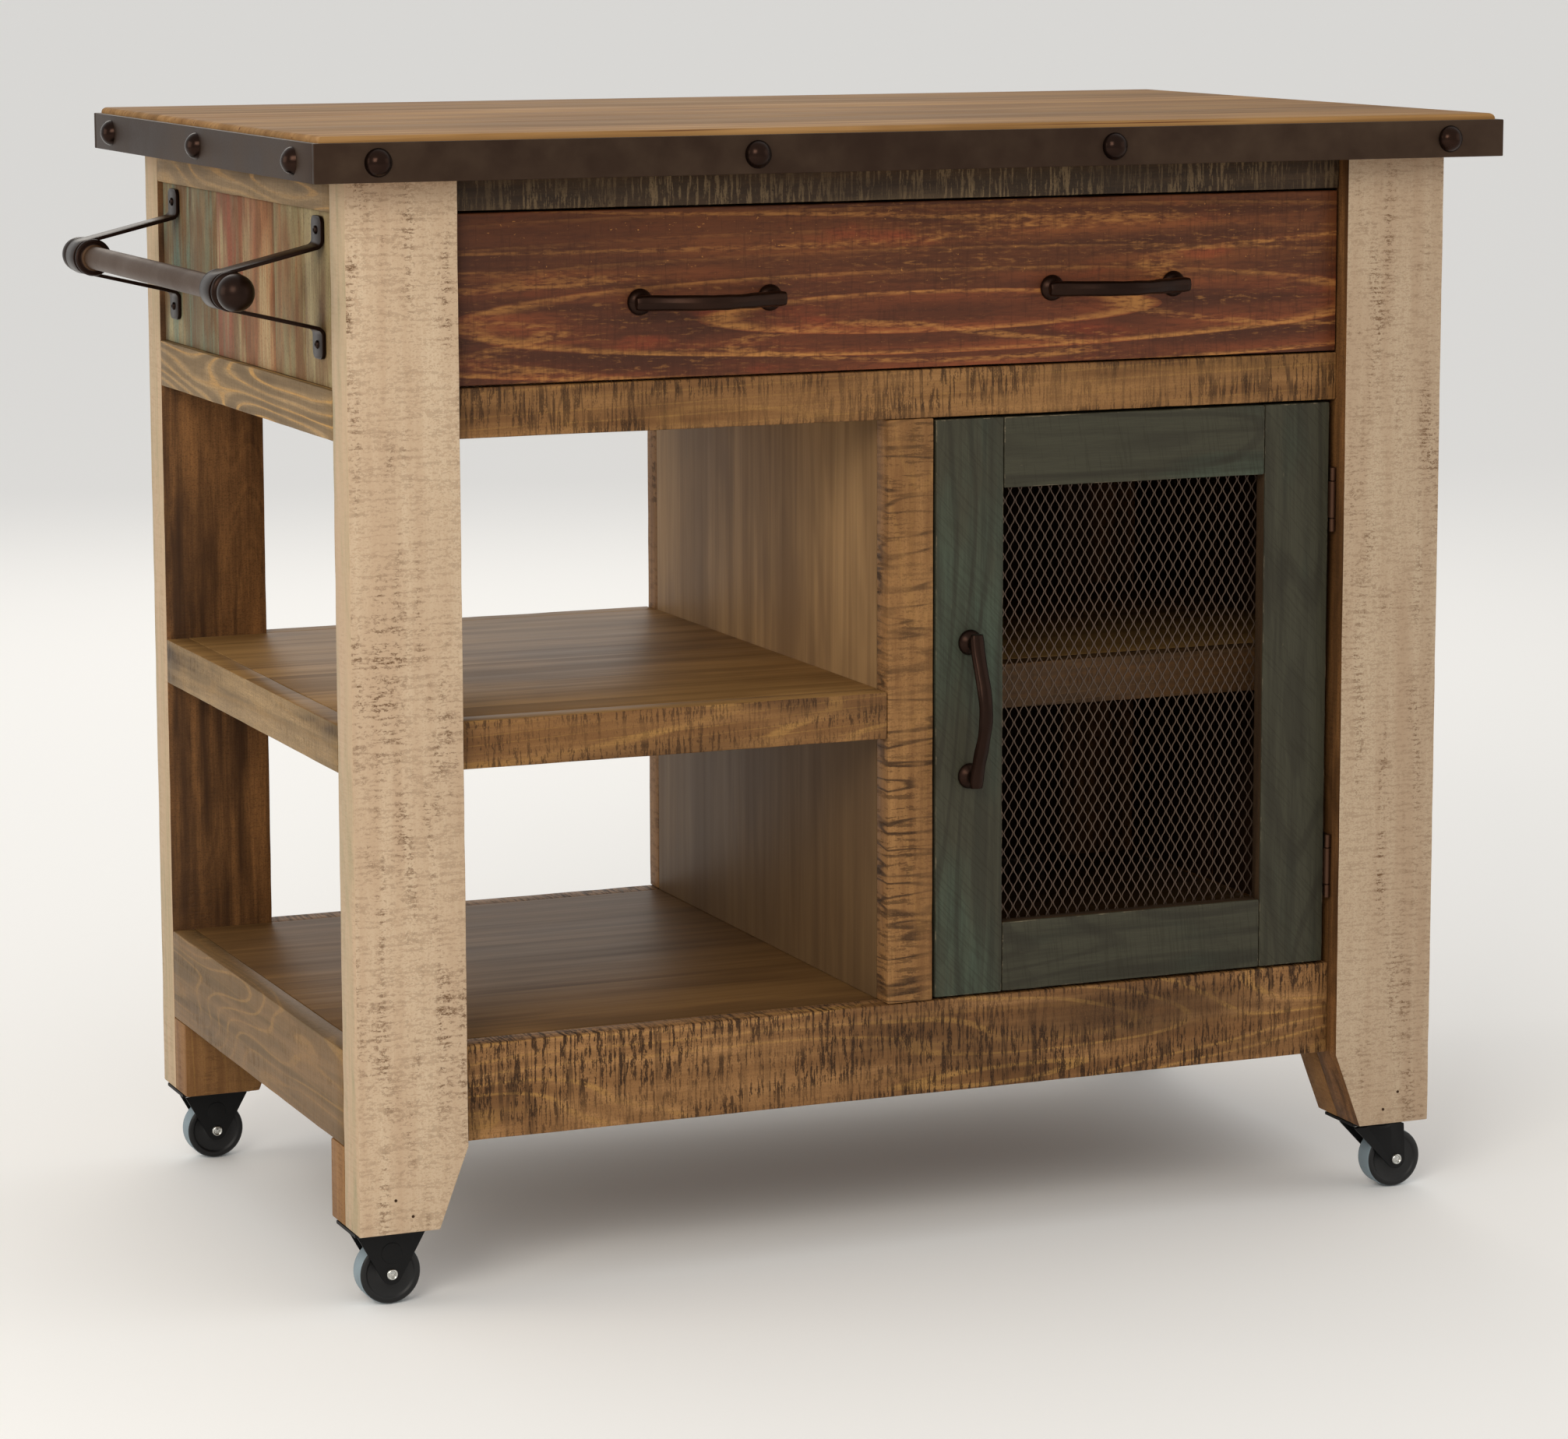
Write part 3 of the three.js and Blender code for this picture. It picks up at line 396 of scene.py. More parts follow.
def weathered_wood(name, shift, tint, beside):
    """Upright planks in old colours, dry-brushed over each other and rubbed back to brown."""
    c = tones()
    finish = Finish(name, specular=0.2)
    at = finish.placed(finish.point, shift, GRAIN_TURN["z"])
    streaks = finish.noise(at, (4, 75, 75), 4, 0.62)
    clouds = finish.noise(at, (9, 22, 22), 3, 0.6, shift=(3, 7, 1))
    brush = finish.noise(at, (7, 190, 190), 4, 0.65, shift=(6, 2, 9))
    fibre = finish.noise(at, (60, 1000, 1000), 2, 0.6)
    whorls = finish.contours(at, (3, 17, 17), 60, (1, 1, 7))
    patches = finish.noise(at, (9, 26, 26), 2, 0.5, shift=(2, 9, 4))
    specks = finish.noise(at, (500, 700, 700), 2, 0.6, shift=(5, 2, 8))
    finish.shade = finish.blend((streaks + clouds * 0.5).rise(0.68, 0.95) * 0.8, tint, beside)
    finish.tint((clouds * 0.7 + brush * 0.4).rise(0.48, 0.7) * 0.85, c.amber_mid)
    finish.tint(whorls.rise(0.75, 1.0) * 0.3, c.amber_mid)
    finish.tint(patches.rise(0.48, 0.72) * (0.3 + brush.rise(0.42, 0.6) * 0.7) * 0.6, c.plank_pale)
    finish.tint((streaks * 0.6 + clouds * 0.5).rise(0.6, 0.8) * 0.55, c.stain_dark)
    finish.tint(specks.rise(0.52, 0.7) * 0.4, c.stain_dark)
    finish.tint((fibre - 0.35) * 0.7, c.amber_dark)
    finish.relief(fibre * 0.2 + whorls * 0.15 - clouds * 0.2, 0.3 * MM, 0.8)
    return finish.paint(0.55 + streaks * 0.15)


SATIN_LOOK = {
    "streak": 60, "cloud": 0.4, "line": 0.6, "whorl": 0.2,
    "figure": 0.4, "ring": 7 * MM, "pith": (0.0, 0.04, -0.06), "tilt": (0.03, 0.05), "bend": 2.6,
    # Boards drawn side by side, and the height below which the wood is painted darker: painted shade under a shelf
    "plank": 0.0, "plank_width": 0.09, "below": None,
    "roughness": 0.5, "specular": 0.2,
}


def satin_wood(name, grain, shift, light, mid, thread, **amounts):
    """Planed and rubbed wood: long soft streaks, growth rings and fine dark lines."""
    look = SimpleNamespace(**(SATIN_LOOK | amounts))
    finish = Finish(name, specular=look.specular)
    at = finish.placed(finish.point, shift, GRAIN_TURN[grain])
    if look.plank:
        across = finish.parts(at)[1] / look.plank_width
        number = finish.sum("FLOOR", across)
        toned = finish.node("ShaderNodeTexWhiteNoise", {"noise_dimensions": "1D"}, {"W": number})
        tone = Level(finish, toned.outputs["Value"])
        jump = finish.node("ShaderNodeCombineXYZ", {}, {0: tone * 3.1, 1: tone * 0.7, 2: tone * 0.4}).outputs[0]
        at = finish.node("ShaderNodeVectorMath", {"operation": "ADD"}, {0: at, 1: jump}).outputs[0]
    streaks = finish.noise(at, (2.2, look.streak, look.streak), 4, 0.6)
    clouds = finish.noise(at, (4, 10, 10), 3, 0.55, shift=(2, 5, 1))
    fibre = finish.noise(at, (30, 900, 900), 2, 0.6)
    rings = finish.rings(at, look.pith, look.tilt, look.ring, look.bend)
    fine = finish.noise(at, (1.6, 210, 210), 3, 0.6, shift=(4, 4, 9))
    whorls = finish.contours(at, (1.5, 11, 11), 50, (1, 1, 7))
    finish.shade = finish.blend((streaks * 0.7 + clouds * 0.5).rise(0.42, 0.82), light, mid)
    finish.tint(rings.rise(0.1, 0.9) * look.figure, mid)
    finish.tint((fibre - 0.35) * 0.45, mid)
    finish.tint(clouds.rise(0.45, 0.7) * look.cloud, mid)
    finish.tint(whorls.rise(0.6, 0.98) * look.whorl, mid)
    # Below that height the wood takes painted shade, darker under the shelf.
    if look.below:
        height = finish.parts(finish.point)[2] + (clouds - 0.5) * 0.05
        finish.tint(height.rise(look.below, look.below - 0.04) * 0.7, thread)
    finish.tint(fine.rise(0.61, 0.7) * look.line, thread)
    if look.plank:
        finish.tint(tone * look.plank, mid)
    finish.relief(fibre * 0.2 + rings * 0.2, 0.12 * MM, 0.6)
    return finish.paint(look.roughness + (streaks - 0.5) * 0.2 + fibre * 0.06)


def painted_wood(name, grain, shift, lo, hi, colours, slant, fade=0.4, knot=0.0):
    """Worn paint on sawn boards: slanting saw marks, rubbed edges and a grain that shows through."""
    light, base, dark, worn = colours
    finish = Finish(name, specular=0.25)
    at = finish.placed(finish.point, shift, GRAIN_TURN[grain])
    streaks = finish.noise(at, (4, 90, 90), 4, 0.6)
    clouds = finish.noise(at, (5, 13, 13), 3, 0.55, shift=(1, 3, 8))
    fibre = finish.noise(at, (40, 900, 900), 2, 0.6)
    skewed = finish.placed(finish.point, (0, 0, 0), (0, slant, 0))
    saw = finish.noise(skewed, (480, 60, 22), 2, 0.6)
    rings = finish.rings(at, (0.0, 0.04, -0.03), (0.06, 0.05), 8 * MM, 3.0)
    gap = edge_gap(finish, lo, hi)
    nearness = gap.rise(3.0 * MM, 0.4 * MM)
    chips = finish.noise(at, (60, 200, 200), 3, 0.7, shift=(9, 1, 4))
    bare = (nearness * 0.5 + chips * 0.6).rise(0.78, 0.9)
    faded = (clouds * 0.8 + streaks * 0.3).rise(0.72 - 0.4 * fade, 0.98 - 0.4 * fade)
    finish.shade = finish.blend(faded, base, light)
    finish.tint((streaks + clouds * 0.3).rise(0.58, 0.85) * 0.7, dark)
    finish.tint(rings.rise(0.7, 1.0) * 0.2, dark)
    whorls = finish.contours(at, (2.4, 14, 14), 60, (1, 1, 7))
    finish.tint(whorls.rise(0.7, 1.0) * 0.45, dark)
    marks = (saw + (clouds - 0.5) * 0.3).rise(0.5, 0.64)
    finish.tint(marks * 0.22, dark)
    finish.tint((fibre - 0.35) * 0.9, dark)
    if knot:
        near = finish.knots(at, (3.4, 0, 11), (0.1, 0, 0.2)) + (clouds - 0.5) * 0.15
        finish.tint(near.rise(0.2, 0.08) * knot, dark)
    finish.tint(chips.rise(0.7, 0.8) * 0.25, worn)
    finish.tint(bare * 0.7, worn)
    finish.relief(fibre * 0.15 + rings * 0.12 - marks * 0.35 - bare * 0.3, 0.4 * MM, 0.8)
    return finish.paint(0.52 + streaks * 0.15 + marks * 0.1)


def coated_metal(name, base, warm, roughness, metallic, mottle=0.35, grain=900, depth=0.05 * MM):
    """A patinated or coated metal with soft mottling and rubbed places."""
    finish = Finish(name, specular=0.25)
    cloud = finish.noise(finish.point, (16, 16, 16), 4, 0.6)
    broad = finish.noise(finish.point, (4, 4, 4), 2, 0.5, shift=(3, 1, 2))
    pits = finish.noise(finish.point, (grain, grain, grain), 2, 0.5)
    finish.shade = finish.blend((cloud * 0.7 + broad * 0.4).rise(0.4, 0.85) * mottle, base, warm)
    finish.relief(pits * 0.5 + cloud * 0.5, depth, 0.5)
    return finish.paint(roughness + (cloud - 0.5) * 0.25 + (pits - 0.5) * 0.1, metallic)


def moulded_black(name, base, roughness, grain=700):
    """Moulded plastic or rubber with a fine grain."""
    finish = Finish(name, specular=0.4)
    cloud = finish.noise(finish.point, (30, 30, 30), 3, 0.5)
    pits = finish.noise(finish.point, (grain, grain, grain), 2, 0.5)
    lighter = tuple(min(1.0, c * 1.5 + 0.004) for c in base)
    finish.shade = finish.blend(cloud.rise(0.4, 0.75) * 0.6, base, lighter)
    finish.relief(pits, 0.05 * MM, 0.5)
    return finish.paint(roughness + (cloud - 0.5) * 0.15)


# ---- Shapes ----


def tones():
    return bpy.context.scene.island_cart_colours


def sizes():
    return bpy.context.scene.island_cart_sizes


def shaded(tint, factor):
    return tuple(v * factor for v in tint)


def new_verts(made):
    return [g for g in made["geom"] if isinstance(g, bmesh.types.BMVert)]


def sharp_edges(bm, angle=0.5):
    return [e for e in bm.edges if len(e.link_faces) == 2 and e.calc_face_angle(0) > angle]


def ease(bm, edges, radius, segments=2):
    if radius > 0 and edges:
        bmesh.ops.bevel(
            bm, geom=edges, offset=radius, segments=segments, affect="EDGES", profile=0.5, material=-1
        )


def block(lo, hi):
    """A box from its lowest and highest corners."""
    bm = bmesh.new()
    lo, hi = Vector(lo), Vector(hi)
    made = bmesh.ops.create_cube(bm, size=1)
    bmesh.ops.scale(bm, vec=hi - lo, verts=made["verts"])
    bmesh.ops.translate(bm, vec=(lo + hi) / 2, verts=made["verts"])
    return bm


def cut_out(outline, y0, y1):
    """A board sawn to an outline in X and Z."""
    bm = bmesh.new()
    face = bm.faces.new([bm.verts.new((x, y0, z)) for x, z in outline])
    made = bmesh.ops.extrude_face_region(bm, geom=[face])
    bmesh.ops.translate(bm, vec=(0, y1 - y0, 0), verts=new_verts(made))
    bmesh.ops.recalc_face_normals(bm, faces=bm.faces)
    return bm


def cut_plane(bm, place, normal, clear=False):
    """Cuts all faces along a plane, and with clear takes away what lies beyond it."""
    geometry = bm.verts[:] + bm.edges[:] + bm.faces[:]
    bmesh.ops.bisect_plane(bm, geom=geometry, dist=1e-6, plane_co=place, plane_no=normal, clear_outer=clear)


def cross_cut(bm, axis, step):
    """Rings of edges across the length, so that the long edges can wander."""
    values = [v.co[axis] for v in bm.verts]
    low, high = min(values), max(values)
    count = int((high - low) / step)
    normal = Vector((0, 0, 0))
    normal[axis] = 1
    for i in range(1, count):
        place = Vector((0, 0, 0))
        place[axis] = low + (high - low) * i / count
        cut_plane(bm, place, normal)


def waver(bm, axis, amount):
    """Pulls the corners in a little and unevenly, as a sawn board's are."""
    middle = Vector((0, 0, 0))
    for v in bm.verts:
        middle += v.co / len(bm.verts)
    for v in bm.verts:
        pull = noise.noise_vector(v.co * 41)
        for k in range(3):
            if k != axis:
                v.co[k] += abs(pull[k]) * amount * (1 if v.co[k] < middle[k] else -1)


def sawn(bm, axis, radius=None, wander=None):
    s = sizes()
    radius = s.edge_round if radius is None else radius
    wander = s.waver if wander is None else wander
    if wander > 0:
        cross_cut(bm, axis, s.waver_step)
        waver(bm, axis, wander)
    ease(bm, sharp_edges(bm), radius)
    return bm


def longest(lo, hi):
    return max(range(3), key=lambda k: hi[k] - lo[k])


def board(lo, hi, radius=None, wander=None):
    return sawn(block(lo, hi), longest(lo, hi), radius, wander)


def turned(profile, centre, axis, steps):
    """A turned shape: profile is pairs of radius and distance along the axis, from end to end."""
    bm = bmesh.new()
    axis = Vector(axis).normalized()
    side = axis.orthogonal().normalized()
    centre = Vector(centre)
    verts = [bm.verts.new(centre + side * r + axis * h) for r, h in profile]
    edges = [bm.edges.new(pair) for pair in zip(verts, verts[1:])]
    if profile[0][0] > 0 or profile[-1][0] > 0:
        edges.append(bm.edges.new((verts[-1], verts[0])))
    bmesh.ops.spin(bm, geom=verts + edges, cent=centre, axis=axis, angle=2 * pi, steps=steps, use_merge=True)
    bmesh.ops.remove_doubles(bm, verts=bm.verts, dist=1e-6)
    bmesh.ops.recalc_face_normals(bm, faces=bm.faces)
    return bm


def in_mm(*pairs):
    return [(r * MM, h * MM) for r, h in pairs]


def swept(stations, sides, turn=0.0):
    """A bar drawn through a row of placed unit circles."""
    bm = bmesh.new()
    turned_by = Matrix.Rotation(turn, 4, "Z")
    made = bmesh.ops.create_circle(bm, cap_ends=True, radius=1, segments=sides, matrix=turned_by)
    ring = made["verts"]
    bmesh.ops.transform(bm, matrix=stations[0], verts=ring)
    edges = [e for e in bm.edges if e.verts[0] in ring and e.verts[1] in ring]
    for before, after in zip(stations, stations[1:]):
        grown = bmesh.ops.extrude_edge_only(bm, edges=edges)
        ring = new_verts(grown)
        fresh = set(ring)
        edges = [g for g in grown["geom"] if isinstance(g, bmesh.types.BMEdge) and fresh.issuperset(g.verts)]
        bmesh.ops.transform(bm, matrix=after @ before.inverted(), verts=ring)
    bmesh.ops.contextual_create(bm, geom=edges)
    bmesh.ops.recalc_face_normals(bm, faces=bm.faces)
    return bm


def together(*parts):
    """Several bmeshes as one."""
    whole = bmesh.new()
    for part in parts:
        mesh = bpy.data.meshes.new("part")
        part.to_mesh(mesh)
        part.free()
        whole.from_mesh(mesh)
        bpy.data.meshes.remove(mesh)
    return whole


def piece(name, bm, body, materials, nodes=(), smooth=30, pick=None):
    """A finished mesh as a piece that rides on a body and stands for CAD nodes."""
    if pick is not None:
        for face in bm.faces:
            face.material_index = pick(face)
    for face in bm.faces:
        face.smooth = True
    mesh = bpy.data.meshes.new(name)
    bm.to_mesh(mesh)
    bm.free()
    mesh.set_sharp_from_angle(angle=radians(smooth))
    for material in materials if isinstance(materials, (list, tuple)) else [materials]:
        mesh.materials.append(material)
    made = bpy.data.objects.new(name, mesh)
    bpy.context.scene.collection.objects.link(made)
    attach(made, body)
    for node in nodes:
        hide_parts(node)
    return made


def facing(axis, sign, limit=0.5):
    """Picks the second material for the faces that look one way along an axis."""
    return lambda face: int(face.normal[axis] * sign > limit)


def frame_board(name, node, lo, hi, *wood, over=(), pick=None, **amounts):
    """A sawn board of the cart's frame; wood is what sawn_wood asks for."""
    materials = [sawn_wood(*wood, **amounts), *over]
    return piece(name, board(lo, hi), "cart", materials, [node], pick=pick)


def ambers(c):
    return c.amber, c.amber_mid, c.amber_dark, c.gold


def olives(c):
    return c.olive, c.olive_dark, c.amber_dark, c.gold


def cad_finish(node, material):
    """Gives a carried-over CAD node its material."""
    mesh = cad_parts[node].data
    mesh.materials.clear()
    mesh.materials.append(material)


def mirrored_x(value):
    """The same distance from the carcass's middle on the other side."""
    lo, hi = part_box("deck_board")
    return lo.x + hi.x - value


class CartOperator(bpy.types.Operator):
    """Builds one group of the cart's pieces."""

    bl_options = {"REGISTER", "UNDO"}

    def execute(self, context):
        self.build(sizes(), tones())
        return {"FINISHED"}


# ---- Worktop and band ----


class ISLANDCART_OT_worktop(CartOperator):
    """Lay the worktop's planks and round its outer edge"""

    bl_idname = "island_cart.worktop"
    bl_label = "Worktop"

    def build(self, s, c):
        lo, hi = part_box("worktop")
        wood = [
            satin_wood(
                f"Worktop plank {i + 1}", "x", (0.37 * i, 0.61 * i, 0.13 * i),
                shaded(c.top, 1.14 - 0.1 * i), shaded(c.top_dark, 1.1 - 0.08 * i), c.top_line,
                roughness=0.6, specular=0.08, line=1.0, figure=0.35, pith=(0, 0.1, -0.12), tilt=(0.012, 0.02),
            )
            for i in range(4)
        ]
        pitch = (hi.y - lo.y) / s.top_planks
        for i in range(s.top_planks):
            bm = block(lo, hi)
            top = [e for e in bm.edges if all(v.co.z > hi.z - MM for v in e.verts)]
            ease(bm, top, s.top_round, 5)
            for place, outward in ((lo.y + i * pitch, -1), (lo.y + (i + 1) * pitch, 1)):
                if lo.y + MM < place < hi.y - MM:
                    cut_plane(bm, (0, place - outward * SEAM_OVERLAP, 0), (0, outward, 0), True)
                    rim = [e for e in bm.edges if e.is_boundary]
                    bmesh.ops.contextual_create(bm, geom=rim)
            bmesh.ops.recalc_face_normals(bm, faces=bm.faces)
            seams = [
                e
                for e in sharp_edges(bm, 1.0)
                if all(v.co.z > hi.z - 0.2 * MM for v in e.verts) and abs(e.verts[0].co.y - e.verts[1].co.y) < MM
                and abs(e.verts[0].co.x - e.verts[1].co.x) > 0.1
            ]
            ease(bm, seams, s.seam_groove, 1)
            piece(f"worktop_plank_{i + 1}", bm, "cart", wood[i * 3 % 4], ["worktop"])


def dome(radius, height):
    """The profile of a domed head, from its foot to its crown."""
    sphere = (radius * radius + height * height) / (2 * height)
    reach = acos(1 - height / sphere) if height <= radius else pi / 2
    points = [(0.0, 0.0), (radius, 0.0)]
    rings = 7
    for i in range(rings + 1):
        a = reach * (1 - i / rings)
        points.append((sphere * sin(a), height - sphere + sphere * cos(a)))
    points[-1] = (0.0, height)
    return points


class ISLANDCART_OT_band(CartOperator):
    """Bend the steel band round the worktop and set its rivets"""

    bl_idname = "island_cart.band"
    bl_label = "Band and rivets"

    def build(self, s, c):
        steel = coated_metal("Bronzed band", c.bronze, c.bronze_warm, 0.5, 0.75, 0.5, 700, 0.08 * MM)
        domes = coated_metal("Bronzed rivets", c.cast, c.cast_warm, 0.24, 0.9, 0.6, 150, 0.1 * MM)
        thickness = 5 * MM
        rivet_radius = 11 * MM
        rows = {
            "front": (0, 1, -1, 50 * MM, 4),
            "back": (0, 1, 1, 50 * MM, 4),
            "left": (1, 0, -1, 55 * MM, 3),
            "right": (1, 0, 1, 55 * MM, 3),
        }
        for side, (along, out, sign, end, count) in rows.items():
            node = f"band_{side}"
            lo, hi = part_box(node)
            # The node's box takes in the rivets, so the bar's outer face lies behind their crowns.
            face = (lo if sign < 0 else hi)[out] - sign * RIVET_HEIGHT
            bar_lo, bar_hi = lo.copy(), hi.copy()
            bar_lo[out], bar_hi[out] = sorted((face, face - sign * thickness))
            bar = block(bar_lo, bar_hi)
            cross_cut(bar, along, 60 * MM)
            for v in bar.verts:
                v.co[out] -= sign * abs(noise.noise(v.co * 9)) * 0.25 * MM
            ease(bar, sharp_edges(bar), 0.7 * MM, 2)
            piece(node + "_bar", bar, "cart", steel, [node])
            if side in ("front", "back"):
                low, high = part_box("band_left")[0].x + RIVET_HEIGHT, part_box("band_right")[1].x - RIVET_HEIGHT
            else:
                low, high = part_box("band_front")[0].y + RIVET_HEIGHT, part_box("band_back")[1].y - RIVET_HEIGHT
            for i in range(count):
                place = (bar_lo + bar_hi) / 2
                place[out] = face
                place[along] = low + end + (high - low - 2 * end) * i / (count - 1)
                axis = Vector((0, 0, 0))
                axis[out] = sign
                head = turned(dome(rivet_radius, RIVET_HEIGHT), place, axis, 28)
                for v in head.verts:
                    if abs(v.co[out] - face) > 1.5 * MM:
                        v.co += noise.noise_vector(v.co * 160) * 0.22 * MM
                piece(f"rivet_{side}_{i + 1}", head, "cart", domes, smooth=60)


# ---- Legs ----


class ISLANDCART_OT_legs(CartOperator):
    """Saw the four leg boards with the blocks behind their feet"""

    bl_idname = "island_cart.legs"
    bl_label = "Legs"

    def build(self, s, c):
        rail_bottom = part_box("rail_front_deck")[0].z
        iron = coated_metal("Nail heads", c.stain_dark, c.bronze, 0.6, 0.3)
        for end, front in (("front", -1), ("back", 1)):
            for hand, out in (("left", -1), ("right", 1)):
                name = f"leg_{end}_{hand}"
                lo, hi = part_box(name)
                outer, inner = (lo.x, hi.x) if out < 0 else (hi.x, lo.x)
                face, back = (lo.y, lo.y + s.leg_thickness) if front < 0 else (hi.y, hi.y - s.leg_thickness)
                block_back = hi.y if front < 0 else lo.y
                foot_inner = inner + out * s.taper
                seed = (0.31 if hand == "left" else 1.7) + (0.0 if end == "front" else 0.9)
                # The right legs take darker copies of the whitewash: painted shade, as the light comes from the
                # left.
                shade = 1.0 if hand == "left" else 0.8
                light, warm = shaded(c.wash, shade), shaded(c.wash_warm, shade)
                washed = sawn_wood(
                    f"Whitewashed {name}", "z", (seed, seed * 0.7, 0.2), light, warm, c.wash_mark,
                    saw=1.0, speck=0.9, figure=0.06, pitch=2.2 * MM, dash=4.5 * MM, line=26 * MM, column=16 * MM,
                    smudge=0.0, cover=0.5, roughness=0.66, whorl=0.08, grit=0.5,
                )
                edge = sawn_wood(
                    f"Washed edge of {name}", "z", (seed, 0.3, seed), c.wash_edge, c.wash_warm, c.wash_mark,
                    saw=0.12, speck=0.4, figure=0.6, ring=3 * MM, smudge=0.08, whorl=0.5, whorls=90,
                )
                inside = sawn_wood(
                    f"Stained {name}", "z", (seed * 1.3, 0.05, seed * 0.4), c.stain, c.stain_dark, c.stain_dark,
                    saw=0.3, speck=0.4, figure=0.3, ring=14 * MM, knot=0.9, smudge=0.6, roughness=0.5, whorl=0.35,
                    pith=(0, 0.02, -0.03), cover=0.3,
                )

                def pick(f, front=front, out=out):
                    ahead, aside = f.normal.y * front, f.normal.x * out
                    if ahead > 0.6:
                        return 0
                    if aside > 0.6:
                        return 1
                    if ahead < -0.3 or aside < -0.3:
                        return 2
                    return int(abs(aside) > abs(ahead))

                outline = [(outer, lo.z), (foot_inner, lo.z), (inner, rail_bottom), (inner, hi.z), (outer, hi.z)]
                bm = sawn(cut_out(outline, min(face, back), max(face, back)), 2)
                piece(name + "_board", bm, "cart", [washed, edge, inside], [name], pick=pick)
                top = rail_bottom - 0.3 * MM
                share = (top - lo.z) / (rail_bottom - lo.z)
                behind = foot_inner + (inner - foot_inner) * share
                under = [(outer, lo.z), (foot_inner, lo.z), (behind, top), (outer, top)]
                y0, y1 = sorted((back - front * 0.02 * MM, block_back))
                bm = sawn(cut_out(under, y0, y1), 2)
                raw = sawn_wood(
                    f"Block of {name}", "z", (seed * 0.6, 0.4, seed), c.amber, c.amber_mid, c.stain_dark, c.gold,
                    saw=0.3, speck=0.4, figure=0.4, smudge=0.5, roughness=0.55,
                )
                piece(name + "_block", bm, "cart", [raw], [name])
                nails = []
                head = in_mm((0, -0.4), (1.25, -0.4), (1.25, 0.05), (0, 0.1))
                for dx, dz in ((0.45, 27 * MM), (0.66, 13 * MM)):
                    x = outer + (foot_inner - outer) * dx
                    nails.append(turned(head, (x, face, lo.z + dz), (0, front, 0), 10))
                piece(name + "_nails", together(*nails), "cart", iron, smooth=40)


# ---- Carcass ----


AMBER_LOOK = {
    "saw": 0.8, "speck": 0.4, "figure": 0.4, "ring": 8 * MM, "knot": 0.7,
    "dash": 16 * MM, "line": 50 * MM, "column": 40 * MM, "cover": 0.75, "smudge": 0.4, "roughness": 0.55,
    "cut": 0.75, "cut_pitch": 7 * MM,
}


def amber_board(name, node, grain, seed, colours=None, **amounts):
    """One of the amber rails, in place of its node."""
    c = tones()
    shift = (seed, seed * 0.63, seed * 0.29)
    frame_board(
        node + "_board", node, *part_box(node), name, grain, shift, *(colours or ambers(c)), **(AMBER_LOOK | amounts)
    )


PLANK_COLOURS = ("cream", "olive", "orange", "red", "grey", "teal")


def plank_row(name, low, high, axis, thickness_axis, lo, hi, count, nodes, order):
    """Upright planks side by side between two places."""
    c = tones()
    pitch = (high - low) / count
    # The planks' inner faces are painted near-black: painted shade for the cart's dark inside.
    painted_shade_face = painted_shade_wood(f"{name} inner face", (0.2, 0.4, 0.1))
    for i in range(count):
        a, b = Vector(lo), Vector(hi)
        a[axis] = low + i * pitch + (0.12 * MM if i else 0)
        b[axis] = low + (i + 1) * pitch - (0.12 * MM if i < count - 1 else 0)
        tint, beside = (getattr(c, "plank_" + PLANK_COLOURS[order[(i + k) % len(order)]]) for k in (0, 1))
        wood = weathered_wood(f"{name} plank {i + 1}", (0.41 * i + 0.2, 0.17 * i, 0.09 * i), tint, beside)
        outer = -1 if lo[thickness_axis] < 0 else 1
        planed = board(a, b, 0.6 * MM, 0)
        faces = facing(thickness_axis, -outer)
        piece(f"{name}_plank_{i + 1}", planed, "cart", [wood, painted_shade_face], nodes, pick=faces)


